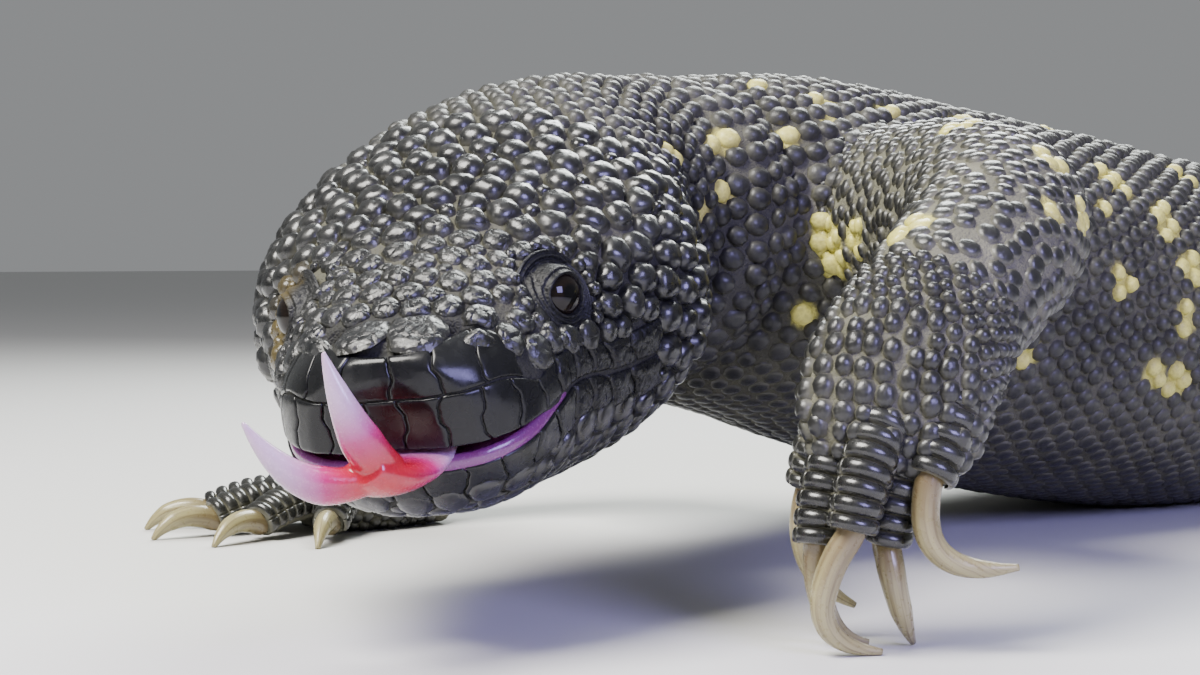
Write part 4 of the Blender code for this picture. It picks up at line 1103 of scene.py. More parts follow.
def settle(points, limit):
    """Moves points to the nearest skin. Returns the places, the skin's facing and which lie close enough."""
    tree = made["skin_tree"]
    places, facings, near = [], [], []
    for point in points:
        spot, normal, _, distance = tree.find_nearest(Vector(point))
        places.append(spot)
        facings.append(normal)
        near.append(distance < limit)
    return np.array(places), np.array(facings), np.array(near)


CELL = 6.0  # side of the cells that near beads are looked up in, more than two beads' reach


def apart(points, sizes, share):
    """Which points keep clear of all the points before them, by a share of their sizes."""
    cells, keep = {}, np.zeros(len(points), bool)
    steps = list(product((-1, 0, 1), repeat=3))
    for i, (point, size) in enumerate(zip(points, sizes)):
        x, y, z = (point // CELL).astype(int).tolist()
        near = (j for dx, dy, dz in steps for j in cells.get((x + dx, y + dy, z + dz), ()))
        if all(np.sum((points[j] - point) ** 2) >= (share * (size + sizes[j])) ** 2 for j in near):
            keep[i] = True
            cells.setdefault((x, y, z), []).append(i)
    return keep


def bead_field(tube, spacing, rise, fill, rng, lay, span=None, allow=None, limit=2.6):
    """Beads in rows over a tube, where the skin is within the limit: roots, axes, reach, rises and places on
    the flat plan. lay gives the space between rows and between the beads of a row, as shares of a bead, and
    how far beads stray."""
    *rows, jitter = lay
    keys, angles, width, length = tube.bead_places(spacing, *rows)
    if span is not None:
        within = (keys >= span[0]) & (keys < span[1])
        keys, angles, width, length = keys[within], angles[within], width[within], length[within]
    points = tube.at(keys, angles)
    stretch = np.linalg.norm(tube.at(keys + 0.5, angles) - points, axis=1) / 0.5
    length = length * np.clip(stretch, 0.75, 1.5)
    facing, along = tube.facing(keys, angles)
    points += along * (rng.normal(0.0, jitter, len(keys)) * length)[:, None]
    points += np.cross(along, facing) * (rng.normal(0.0, jitter, len(keys)) * width)[:, None]
    roots, skin_facing, near = settle(points, limit)
    if allow is not None:
        near &= allow(roots)
    out = unit(facing * 0.5 + skin_facing * 0.5)
    along = unit(along - out * np.sum(along * out, axis=1)[:, None])
    axes = np.stack([np.cross(along, out), along, out], axis=1)
    wide = fill * rng.uniform(0.86, 1.08, len(keys))
    reach = oval_reach(width * wide, length * wide, len(set(BODY_DOME[0])))
    rises = rise(roots, out) if callable(rise) else np.full(len(keys), rise)
    rises = rises * rng.uniform(0.82, 1.14, len(keys))
    maps = np.column_stack([angles / FULL_TURN % 1.0, (keys - tube.first) / (tube.last - tube.first)])
    return [part[near] for part in (roots, axes, reach, rises, maps)]


def merge_fields(fields, share=0.62):
    """Several fields as one, their flat places side by side, with no bead on top of another. The
    share of their sizes that beads keep apart sets how far they may overlap."""
    count = len(fields)
    for number, field in enumerate(fields):
        field[4] = field[4] * (0.94 / count, 0.96) + ((number + 0.03) / count, 0.02)
    parts = [np.concatenate([field[i] for field in fields]) for i in range(5)]
    keep = apart(parts[0], parts[2].min(axis=1), share)
    return [part[keep] for part in parts]


HEAD_LIMIT = 9.0  # how far the head's beads may start off the skin
# Shares of their spaces that the head's beads keep apart as they settle, and how they push each other
FIRST_APART, MIDDLE_APART, LAST_APART = 0.82, 0.74, 0.6
WANTED_SPACE, PUSH = 0.51, 0.35


def scatter(tube, spacing, allow, rng, fixed, fixed_spaces, tries=14000, rounds=26):
    """Places over a tube that push each other apart, like pebbles, until each keeps its own spacing. The
    fixed ones come first and stay where they are."""
    points = tube.at(rng.uniform(tube.first, tube.last, tries), rng.uniform(0.0, FULL_TURN, tries))
    points = points[allow(points)]
    spaces = np.concatenate([fixed_spaces, spacing(points)])
    points, held = np.concatenate([fixed, points]), len(fixed)
    keep = apart(points, spaces / 2, FIRST_APART)
    points, spaces = points[keep], spaces[keep]
    for turn in range(rounds):
        near = point_tree(points)
        moved = points.copy()
        for i in range(held, len(points)):
            for other, j, distance in near.find_range(points[i], 1.3 * spaces[i]):
                want = WANTED_SPACE * (spaces[i] + spaces[j])
                if 0.0 < distance < want:
                    moved[i] += (points[i] - np.array(other)) / distance * (want - distance) * PUSH
        points = np.concatenate([points[:held], settle(moved[held:], HEAD_LIMIT)[0]])
        spaces[held:] = spacing(points[held:])
        if turn == rounds // 2:
            keep = apart(points, spaces / 2, MIDDLE_APART)
            points, spaces = points[keep], spaces[keep]
    keep = allow(points) | (np.arange(len(points)) < held)
    keep &= apart(points, spaces / 2, LAST_APART)
    return fill_gaps(tube, points[keep], spaces[keep], allow, rng)


# Tries at small beads between the others, and the least and the most half width of one
GAP_TRIES, LEAST_GAP, GAP_BEAD = 5000, 0.8, 1.7


def fill_gaps(tube, points, spaces, allow, rng):
    """Adds small beads where the others leave room, the widest gaps first."""
    extra = tube.at(rng.uniform(tube.first, tube.last, GAP_TRIES), rng.uniform(0.0, FULL_TURN, GAP_TRIES))
    extra = settle(extra[allow(extra)], HEAD_LIMIT)[0]
    room = np.full(len(extra), np.inf)
    for point, space in zip(points, spaces):
        room = np.minimum(room, np.linalg.norm(extra - point, axis=1) - space / 2)
    while room.max() > LEAST_GAP:
        widest = room.argmax()
        half = min(room[widest], GAP_BEAD)
        points, spaces = np.vstack([points, extra[widest]]), np.append(spaces, 2 * half)
        room = np.minimum(room, np.linalg.norm(extra - extra[widest], axis=1) - half)
    return points, spaces


CORNER_POWER = 9.0  # the higher, the squarer the head beads' corners


def point_tree(points):
    tree = KDTree(len(points))
    for i, point in enumerate(points):
        tree.insert(point, i)
    tree.balance()
    return tree


def cell_reach(points, axes, spaces, corners, fill):
    """How far each bead reaches in each direction before it meets its neighbours, with rounded corners."""
    near = point_tree(points)
    turns = np.arange(corners) * FULL_TURN / corners
    ways = np.column_stack([np.cos(turns), np.sin(turns)])
    reach = np.empty((len(points), corners))
    for i, point in enumerate(points):
        total = np.full(corners, (0.66 * spaces[i]) ** -CORNER_POWER)
        for other, j, _ in near.find_range(point, 2.2 * spaces[i]):
            if j == i:
                continue
            flat = axes[i, :2] @ (np.array(other) - point)
            toward = np.maximum(ways @ flat, 1e-3)
            mine = spaces[i] / (spaces[i] + spaces[j])
            total += (flat @ flat * mine / toward) ** -CORNER_POWER
        reach[i] = total ** (-1.0 / CORNER_POWER)
    return reach * fill[:, None]


LOWER_PLATES = 4.6  # height of the lower lip's plates
PLATE_ROW = 0.58  # where the lower row over the mouth ends, as a share of the plates' height
FACE_CLEAR = ((EYE_PLACE, 6.1), (NOSTRIL_PLACE, 2.8), (EAR_PLACE, 2.4))  # beads stay this far off each
PLATE_CLEAR = 0.6


def clear_of_face(roots):
    """Beads stay off the eyes, the lips and the snout's smooth plates."""
    along, _, above = to_head(roots).T
    clear = along < 58.0
    for side in (1.0, -1.0):
        for place_at, least in FACE_CLEAR:
            middle = from_head(np.array(place_at) * (1.0, side, 1.0))
            clear &= np.linalg.norm(roots - middle, axis=1) > least
    lip = lip_height(along)
    low = lip - mouth_gap(along) - LOWER_PLATES - PLATE_CLEAR
    high = lip + plate_height(along) + PLATE_CLEAR
    return clear & ((along < MOUTH_CORNER - 1.0) | (above > high) | (above < low))


def plate_height(along):
    """How high above the lip the snout's plates reach."""
    return 4.2 + 6.8 * smooth_step(along, 45.0, 57.0)


def plate_seam(along):
    """How high above the lip the two rows of plates meet. Behind the snout the lower row is the only one."""
    return plate_height(along) * (PLATE_ROW + (1.0 - PLATE_ROW) * smooth_step(-along, -50.0, -46.0))


def head_spacing(points):
    """The space between the head's beads: wide on the snout, close by the eyes and on the throat."""
    along, _, above = to_head(points).T
    on_top = smooth_step(above, 1.0, 7.0)
    space = np.full(len(points), looks().head_bead / MM)
    space += (1.9 * smooth_step(along, 48.5, 51.5) - 0.6 * smooth_step(along, 30.0, 40.0)) * on_top
    space -= 0.9 * smooth_step(-above, 9.0, 15.0)
    for side in (1.0, -1.0):
        away = np.linalg.norm(points - eye_frame(side)[0], axis=1)
        space -= 1.1 * (1.0 - smooth_step(away, 7.0, 11.0))
    return np.maximum(space, 2.2)


# On the head's axes: the nostrils, which keep a space clear, and the pair of broad plates between them
NOSE_PLATES = ((NOSTRIL_PLACE, 1.5), ((52.9, 3.3, 9.8), 6.2))


def head_field(rng):
    """The head's beads: tall on the crown and cheeks, broad and flat on the snout, low on the throat."""
    nose = [np.array(middle) * (1.0, side, 1.0) for middle, _ in NOSE_PLATES for side in (1.0, -1.0)]
    nose = settle(from_head(nose), HEAD_LIMIT)[0]
    nose_spaces = np.repeat([space for _, space in NOSE_PLATES], 2)
    points, spaces = scatter(HEAD, head_spacing, clear_of_face, rng, nose, nose_spaces)
    points, out, _ = settle(points, HEAD_LIMIT)
    along, side, above = to_head(points).T
    forward = unit(HEAD_FORWARD - out * (out @ HEAD_FORWARD)[:, None])
    axes = np.stack([np.cross(forward, out), forward, out], axis=1)
    flat = wrinkled(points)
    fill = 1.0 + 0.03 * flat + rng.uniform(-0.05, 0.03, len(points))
    reach = cell_reach(points, axes, spaces, len(set(HEAD_DOME[0])), fill)
    rises = (1.9 - 1.0 * flat) * rng.uniform(0.85, 1.15, len(points))
    rises *= (0.35 + 0.65 * smooth_step(above, -15.0, -8.0)) * np.minimum(spaces / 3.3, 1.0)
    rises *= 1.0 - 0.5 * smooth_step(along, 28.0, 40.0) * smooth_step(-above, 3.0, 6.0)
    maps = head_plan(along, side, above)
    return [part[2:] for part in (points, axes, reach, rises, maps)]  # the first two are the nostrils


def head_plan(along, side, above):
    """Places on the head's flat plan."""
    return np.column_stack([(np.arctan2(above + 3.0, side) / FULL_TURN) % 1.0, along / HEAD_LENGTH])


# The body's coat in lengths, from and to along the body
BODY_COATS = {
    "neck": (0.0, 62.0),
    "torso_front": (62.0, 190.0),
    "torso_back": (190.0, TORSO_END),
    "tail_base": (TORSO_END, 430.0),
    "tail": (430.0, TAIL_END),
}
LIMB_COAT = (10.0, 200.0)
# Height of beads, how much of their space they fill, and space between rows, space in a row and straying
BODY_RISE, BODY_FILL, BODY_LAY = 1.3, 0.94, (0.86, 1.0, 0.12)
LIMB_RISE, LIMB_FILL, LIMB_LAY = 0.7, 0.9, (0.82, 1.4, 0.2)
HAND_RISE, HAND_FILL, HAND_LAY = 1.1, 1.04, (0.8, 1.0, 0.17)
LIMB_LIMIT, LIMB_APART = 2.2, 0.5  # how far beads may lie off the skin, and the share that they keep apart


class OBJECT_OT_lizard_beads(bpy.types.Operator):
    """Covers the hide with beads, in rows across the body and limbs and close together on the head"""

    bl_idname = "object.lizard_beads"
    bl_label = "Beads"

    def execute(self, context):
        rng = np.random.default_rng(looks().seed)
        self.piece("beads_head", HEAD_DOME, merge_fields([head_field(rng)]), "head", rng)
        self.body(rng)
        self.limbs(rng)
        return {"FINISHED"}

    def body(self, rng):
        bead = looks().body_bead / MM

        def spacing(key):
            less_on_neck = 0.3 * float(smooth_step(-key, -40.0, 0.0))
            return bead - less_on_neck - 1.5 * float(smooth_step(key, 360.0, 610.0))

        def rise(roots, out):
            return BODY_RISE * (0.3 + 0.7 * smooth_step(out[:, 2], -0.75, -0.2))

        for name, span in BODY_COATS.items():
            field = bead_field(BODY, spacing, rise, BODY_FILL, rng, BODY_LAY, span, behind_head)
            self.piece("beads_" + name, BODY_DOME, merge_fields([field]), "body", rng)

    def limbs(self, rng):
        bead = looks().limb_bead / MM

        def spacing(key):
            return bead - 0.4 + 0.3 * float(smooth_step(key, 40.0, 80.0))

        def hand_spacing(key):
            return bead - 0.5 + 0.5 * float(smooth_step(key, 4.0, 18.0))

        for pair in ("fore", "hind"):
            fields = []
            for limb in (pair + "_left", pair + "_right"):
                tube, palm = LIMBS[limb], FOOT_PARTS[limb][0]
                fields.append(bead_field(
                    tube, spacing, LIMB_RISE, LIMB_FILL, rng, LIMB_LAY, LIMB_COAT, limit=LIMB_LIMIT))
                fields.append(bead_field(palm, hand_spacing, HAND_RISE, HAND_FILL, rng, HAND_LAY))
            field = merge_fields(fields, LIMB_APART)
            self.piece("beads_" + pair + "limbs", BODY_DOME, field, "limb", rng)

    def piece(self, name, template, field, paint, rng):
        mesh = bead_mesh(name, template, *field, rng)
        finish_piece(add_object(name, mesh), paints()[paint], "hide")


def behind_head(roots):
    return to_head(roots)[:, 0] < 1.5


PLATE_SUNK = 0.3  # how far a plate's edge lies under the skin
SNOUT_PIVOT = 36.0  # the plates fan out from here along the head's axis


def plate_shares(count):
    """Shares from -1 to 1, close together near both ends."""
    return np.sin(np.linspace(-0.5, 0.5, count) * math.pi)


def patch_mesh(name, patches):
    """One mesh of plates. Each patch is a grid of points with their facings, a rise, how sharply it falls off
    down its rows and across its columns, how wrinkled it is, and its place on the hide's flat plan."""
    points, faces, rises, wrinkles, plans, base = [], [], [], [], [], 0
    for grid, facing, rise, falls, wrinkle, plan in patches:
        rows, columns = grid.shape[:2]
        down, over = np.meshgrid(plate_shares(rows), plate_shares(columns), indexing="ij")
        dome = (1.0 - np.abs(down) ** falls[0]) * (1.0 - np.abs(over) ** falls[1])
        dome = np.sqrt(np.maximum(dome, 0.0))
        points.append((grid + facing * (rise * dome - PLATE_SUNK * (dome < 1e-6))[..., None]).reshape(-1, 3))
        rises.append(dome.ravel())
        wrinkles.append(np.full(dome.size, wrinkle))
        plans.append(np.column_stack([over.ravel(), down.ravel()]) * PATCH_REACH + plan)
        index = base + np.arange(rows * columns).reshape(rows, columns)
        quads = np.stack([index[:-1, :-1], index[1:, :-1], index[1:, 1:], index[:-1, 1:]], axis=-1)
        faces.append(quads.reshape(-1, 4))
        base += rows * columns
    points, faces = above_floor(np.concatenate(points)), np.concatenate(faces)
    mesh = big_mesh(name, points, faces)
    layer = mesh.uv_layers.new(name="OFBake")
    layer.data.foreach_set("uv", np.concatenate(plans)[faces.ravel()].ravel())
    set_marks(
        mesh, rise=np.concatenate(rises), spot=0.0, dust=dusty(points), stain=stain(points),
        wrinkle=np.concatenate(wrinkles))
    return mesh


SUTURE_WAVER = math.radians(1.0)
LEAST_PLATE = 0.5  # the least height of a plate


def snout_point(tree, turn, above):
    """The place on the head in a direction from the snout's pivot, and the way the surface faces there."""
    way = HEAD_FORWARD * math.cos(turn) + HEAD_LEFT * math.sin(turn)
    start = from_head((SNOUT_PIVOT, 0.0, above)) + way * 60.0
    spot, normal, _, _ = tree.ray_cast(Vector(start), Vector(-way))
    return (None, None) if spot is None else (np.array(spot), np.array(normal))


def suture(number, above):
    """How far a suture wavers from its turn at a height."""
    return SUTURE_WAVER * (math.sin(above * 1.1 + number * 2.3) + 0.3 * math.sin(above * 3.1 + number))


def snout_patch(tree, number, first, last, heights, rows, columns):
    """A plate between two turns, measured round the snout from its front, and two heights along it."""
    grid, facing = np.zeros((rows, columns, 3)), np.zeros((rows, columns, 3))
    for column, share in enumerate(0.5 + 0.5 * plate_shares(columns)):
        turn = first + (last - first) * share
        along = to_head(snout_point(tree, turn, 0.0)[0])[0]
        low, high = heights(along)
        if high - low < LEAST_PLATE:
            return None
        for row, up in enumerate(0.5 + 0.5 * plate_shares(rows)):
            above = low + (high - low) * up
            waver = suture(number, above) * (1.0 - share) + suture(number + 1, above) * share
            spot, normal = snout_point(tree, turn + waver, above)
            if spot is None:
                return None
            grid[row, column], facing[row, column] = spot, normal
    return grid, facing


SEAM = 0.06  # half of the seam between two rows of plates


def first_row(along):
    """Lowest and highest edge of the row of plates over the mouth."""
    lip = lip_height(along)
    return lip + SEAM, lip + plate_seam(along) - SEAM


def second_row(along):
    """Lowest and highest edge of the row above it, on the snout."""
    lip = lip_height(along)
    return lip + plate_seam(along) + SEAM, lip + plate_height(along)


def chin_row(along):
    """Lowest and highest edge of the row of plates under the mouth."""
    lip = lip_height(along) - mouth_gap(along)
    return lip - LOWER_PLATES, lip - SEAM


# Rows of plates: degrees of the snout that each spans, where a suture lies, how far back the row runs, and
# its heights at a place along the head
PLATE_ROWS = ((11.0, 4.0, 118.0, first_row), (13.5, 2.0, 60.0, second_row), (12.0, 6.0, 112.0, chin_row))
PLATE_GAP = 0.2  # degrees from a plate's side to the suture
BACK_PLATES = 62.0  # degrees behind which the plates are humped and wrinkled


# From and to turn round a toe, and rise
BAND_SPANS = ((-0.55, 0.3, 0.5), (0.34, 2.8, 0.95), (2.84, 3.69, 0.5))


class OBJECT_OT_lizard_plates(bpy.types.Operator):
    """Builds the smooth plates round the mouth and the cross bands on the toes"""

    bl_idname = "object.lizard_plates"
    bl_label = "Plates and Bands"

    def execute(self, context):
        plates = add_object("lip_plates", patch_mesh("lip_plates", self.lips()))
        finish_piece(plates, paints()["plate"], "hide")
        bands = []
        step = looks().band_step / MM
        for palm, toes, _ in FOOT_PARTS.values():
            for toe in toes:
                count = int(round((toe.last - toe.first) / step))
                edges = np.linspace(toe.first + 0.4, toe.last + 0.2, count + 1)
                for first, last in zip(edges[:-1], edges[1:]):
                    for low, high, rise in BAND_SPANS:
                        bands.append(self.band(toe, first + 0.05, last - 0.05, low, high, rise))
        bands = [band for band in bands if band is not None]
        finish_piece(add_object("toe_bands", patch_mesh("toe_bands", bands)), paints()["band"], "hide")
        return {"FINISHED"}

    def lips(self):
        """Rows of plates over and under the mouth: smooth in front, humped and wrinkled at its corners."""
        tree = mesh_tree(*HEAD.mesh(1.0, 128))
        patches = []
        for step, offset, reach, heights in PLATE_ROWS:
            for number in range(-11, 11):
                middle = (number + 0.5) * step + offset
                if abs(middle) > reach:
                    continue
                first = math.radians(middle - step / 2 + PLATE_GAP)
                last = math.radians(middle + step / 2 - PLATE_GAP)
                patch = snout_patch(tree, number, first, last, heights, 15, 17)
                if patch is not None:
                    back = smooth_step(abs(middle), BACK_PLATES - 8.0, BACK_PLATES + 8.0)
                    fall = 22.0 - 19.0 * back
                    plan = head_plan(*to_head(patch[0][7, 8])[:, None])[0]
                    patches.append((*patch, 0.28 + 0.5 * back, (fall, fall), 0.06 + 0.9 * back, plan))
        return patches

    def band(self, toe, first, last, low, high, rise):
        """A band that wraps part of the toe, where the toe lies open."""
        shares, turns = 0.5 + 0.5 * plate_shares(9), 0.5 + 0.5 * plate_shares(13)
        keys, angles = first + (last - first) * shares, low + (high - low) * turns
        keys, angles = np.meshgrid(keys, angles, indexing="ij")
        points = toe.at(keys.ravel(), angles.ravel())
        distance = made["skin_tree"].find_nearest(Vector(points.mean(axis=0)))[3]
        facing = toe.facing(keys.ravel(), angles.ravel())[0]
        if distance > 1.6:
            return None
        plan = np.array([(low + high) / 2 / FULL_TURN % 1.0, (first + last) / 2 / toe.last])
        return points.reshape(*keys.shape, 3), facing.reshape(*keys.shape, 3), rise, (2.2, 3.6), 0.1, plan


EYE_OPENING = (2.45, 2.35, 2.2)  # half length, height above and depth below of the gap between the lids
LID_FOLDS, LID_FOLD_DEPTH, LID_REACH, LID_THICKNESS = 4.5, 0.45, 5.6, 0.3
GRANULES, GRANULE_RING, GRANULE_SIZES = 21, (5.7, 6.1), (0.8, 1.15)  # small beads round the lids
RAY_START = 9.0  # how far out of the eye the skin is looked for from


class OBJECT_OT_lizard_eyes(bpy.types.Operator):
    """Builds the eyeballs, their folded lids and the small beads round them"""

    bl_idname = "object.lizard_eyes"
    bl_label = "Eyes"

    def execute(self, context):
        rng = np.random.default_rng(looks().seed + 1)
        paint = self.eye_paint()
        for side, name in ((1.0, "left"), (-1.0, "right")):
            centre, out = eye_frame(side)
            along = unit(HEAD_FORWARD - out * (HEAD_FORWARD @ out))
            up = unit(np.cross(out, along)) * side
            self.ball(name, centre, out, along, up, paint)
            self.lids(name, centre, out, along, up)
            self.granules(name, centre, out, along, up, rng)
        return {"FINISHED"}

    def eye_paint(self):
        p = looks()
        material, tree, shader = new_paint(
            "wet_eye", Roughness=0.06, Specular_IOR_Level=0.25, Coat_Weight=0.1, Coat_Roughness=0.02)
        streaks = add_node(tree, "ShaderNodeTexNoise", in_Scale=900.0, in_Detail=5.0)
        brown = mix_colours(tree, streaks.outputs[0], p.iris_colour, p.iris_streak_colour)
        colour = mix_colours(tree, attribute(tree, "iris"), p.eye_colour, brown)
        tree.links.new(colour, shader.inputs["Base Color"])
        return material

    def ball(self, name, centre, out, along, up, paint):
        turns, rings = 48, 28
        points = []
        for i in range(1, rings):
            lean = math.pi * i / rings
            for j in range(turns):
                turn = FULL_TURN * j / turns
                bulge = EYE_RADIUS * (1.0 + 0.05 * float(smooth_step(math.cos(lean), 0.7, 1.0)))
                spoke = along * math.cos(turn) + up * math.sin(turn)
                points.append(centre + (out * math.cos(lean) + spoke * math.sin(lean)) * bulge)
        points = np.array(points).reshape(rings - 1, turns, 3)
        mesh = mesh_from("eyeball_" + name, *closed_rings(list(points)))
        lean = np.arccos(np.clip(unit(mesh_points(mesh) - centre) @ out, -1, 1))
        set_marks(mesh, iris=smooth_step(lean, 0.26, 0.32) * (1.0 - smooth_step(lean, 0.66, 0.76)))
        finish_piece(add_object("eyeball_" + name, mesh), paint, "eye", "eye_" + name)

    def lids(self, name, centre, out, along, up):
        """Lids that hug the eyeball and run out to the skin in ring-shaped folds."""
        turns, steps = 96, 34
        tree = made["skin_tree"]
        half, top, bottom = EYE_OPENING
        rows = [[] for _ in range(steps)]
        for j in range(turns):
            turn = FULL_TURN * j / turns
            across, tall = math.cos(turn), math.sin(turn)
            spoke = along * across + up * tall
            opening = 1.0 / math.sqrt((across / half) ** 2 + (tall / (top if tall > 0 else bottom)) ** 2)
            outer = centre + spoke * LID_REACH + out * RAY_START
            hit = tree.ray_cast(Vector(outer), Vector(-out))[0]
            skin = (np.array(hit) - centre) @ out if hit is not None else 0.5
            rim = math.sqrt(EYE_RADIUS**2 - opening**2)
            for row in range(steps):
                share = row / (steps - 1)
                distance = opening + (LID_REACH - opening) * share
                phase = FULL_TURN * (share * LID_FOLDS + 0.08 * math.sin(3 * turn))
                fold = LID_FOLD_DEPTH * (0.5 - 0.5 * math.cos(phase)) * (1.0 - 0.5 * share)
                lean = (1.0 - share) ** 1.35
                height = (rim + 0.15) * lean + (skin - 0.1) * (1.0 - lean)
                ball = math.sqrt(max(EYE_RADIUS**2 - distance**2, 0.0))
                height = max(height, ball + LID_THICKNESS * min(1.0, 8.0 * share)) + fold
                if row == 0:
                    distance, height = distance - 0.25, height - 0.7  # the rim turns in on the ball
                elif row == steps - 1:
                    height -= 0.5  # the edge goes under the skin
                rows[row].append(centre + spoke * distance + out * height)
        points, faces = ring_surface([np.array(row) for row in rows])
        mesh = mesh_from("lids_" + name, points, faces)
        set_marks(mesh, rise=0.8, spot=0.0, dust=0.0, wrinkle=0.6, stain=stain(mesh_points(mesh)))
        finish_piece(add_object("lids_" + name, mesh), paints()["lid"], "hide")

    def granules(self, name, centre, out, along, up, rng):
        """A row of small beads round the lids."""
        tree = made["skin_tree"]
        roots, axes = [], []
        for j in range(GRANULES):
            turn = FULL_TURN * (j + rng.uniform(-0.15, 0.15)) / GRANULES
            spoke = along * math.cos(turn) + up * math.sin(turn)
            start = centre + spoke * rng.uniform(*GRANULE_RING) + out * RAY_START
            spot, normal, _, _ = tree.ray_cast(Vector(start), Vector(-out))
            if spot is None:
                continue
            normal = unit(np.array(normal) + out * 0.3)
            side = unit(np.cross(spoke, normal))
            roots.append(np.array(spot) + normal * 0.1)
            axes.append((side, np.cross(normal, side), normal))
        roots, axes = np.array(roots), np.array(axes)
        size = rng.uniform(*GRANULE_SIZES, len(roots))
        reach = oval_reach(size, size * 0.9, len(set(HEAD_DOME[0])))
        maps = np.column_stack([np.linspace(0.05, 0.95, len(roots)), np.full(len(roots), 0.5)])
        mesh = bead_mesh("eye_beads_" + name, HEAD_DOME, roots, axes, reach, size * 0.9, maps, rng)
        finish_piece(add_object("eye_beads_" + name, mesh), paints()["head"], "hide")


class OBJECT_OT_lizard_claws(bpy.types.Operator):
    """Builds the twenty claws, curved and blunt, with streaks along the horn"""

    bl_idname = "object.lizard_claws"
    bl_label = "Claws"

    def execute(self, context):
        paint = self.horn()
        around = 24
        for _, _, claws in FOOT_PARTS.values():
            for claw in claws:
                points, faces = claw.mesh(0.4, around)
                mesh = mesh_from(claw.name + "_horn", above_floor(points), faces)
                rings = (len(points) - 2) // around
                turns = np.arange(around) * FULL_TURN / around
                along = np.repeat(np.linspace(0.0, 1.0, rings), around)
                beside, above = np.tile(np.cos(turns), rings), np.tile(np.sin(turns), rings)
                set_marks(
                    mesh, along=np.append(along, [0.0, 1.0]), beside=np.append(beside, [0.0, 0.0]),
                    above=np.append(above, [0.0, 0.0]))
                finish_piece(add_object(claw.name + "_horn", mesh), paint, "claw_horn", claw.name)
        return {"FINISHED"}

    def horn(self):
        p = looks()
        material, tree, shader = new_paint(
            "claw_horn", Subsurface_Weight=0.1, Subsurface_Radius=(0.001, 0.0008, 0.0005), Coat_Weight=0.3)
        along = attribute(tree, "along")
        lengthwise = add_node(tree, "ShaderNodeCombineXYZ")
        tree.links.new(attribute(tree, "beside"), lengthwise.inputs[0])
        tree.links.new(attribute(tree, "above"), lengthwise.inputs[1])
        tree.links.new(math_node(tree, "MULTIPLY", along, 0.5), lengthwise.inputs[2])
        streaks = add_node(tree, "ShaderNodeTexNoise", in_Scale=3.2, in_Detail=4.0)
        tree.links.new(lengthwise.outputs[0], streaks.inputs["Vector"])
        grain = grain_node(tree, 900.0, 0.2)
        past_root = map_range(tree, along, 0.02, 0.45, 0.0, 1.0)
        body = mix_colours(tree, past_root, p.claw_root_colour, p.claw_colour)
        streak = map_range(tree, streaks.outputs[0], 0.46, 0.66, 0.0, 0.7)
        worn = mix_colours(tree, streak, body, p.claw_root_colour)
        tree.links.new(worn, shader.inputs["Base Color"])
        rough = map_range(tree, grain.outputs["Height"], 0.3, 0.8, 0.22, 0.4)
        tree.links.new(rough, shader.inputs["Roughness"])
        add_bump(tree, shader, streaks.outputs[0], 0.00012)
        return material


# The roll of flesh: degrees round the snout to each corner, how far in, half width and half height
LIP_ROLL_TURN, LIP_ROLL_INSET, LIP_ROLL_HALF, LIP_ROLL_TALL = 72.0, 0.75, 1.1, 0.75


def lip_roll_shape(tree):
    """The roll of flesh inside the lower lip, from one corner of the mouth round to the other."""
    turns = np.radians(np.linspace(-LIP_ROLL_TURN, LIP_ROLL_TURN, 61))
    points = []
    for turn in turns:
        along = to_head(snout_point(tree, turn, -6.0)[0])[0]
        above = lip_height(along) - mouth_gap(along) + 0.05
        spot, normal = snout_point(tree, turn, above)
        points.append(spot - normal * LIP_ROLL_INSET)
    points = np.array(points)
    run = run_along(points)
    fade = np.minimum(1.0, (1.0 - np.abs(np.linspace(-1.0, 1.0, 61))) * 6.0 + 0.15)
    half, tall = LIP_ROLL_HALF * fade, LIP_ROLL_TALL * fade
    return np.column_stack([run, points, half, tall, tall])


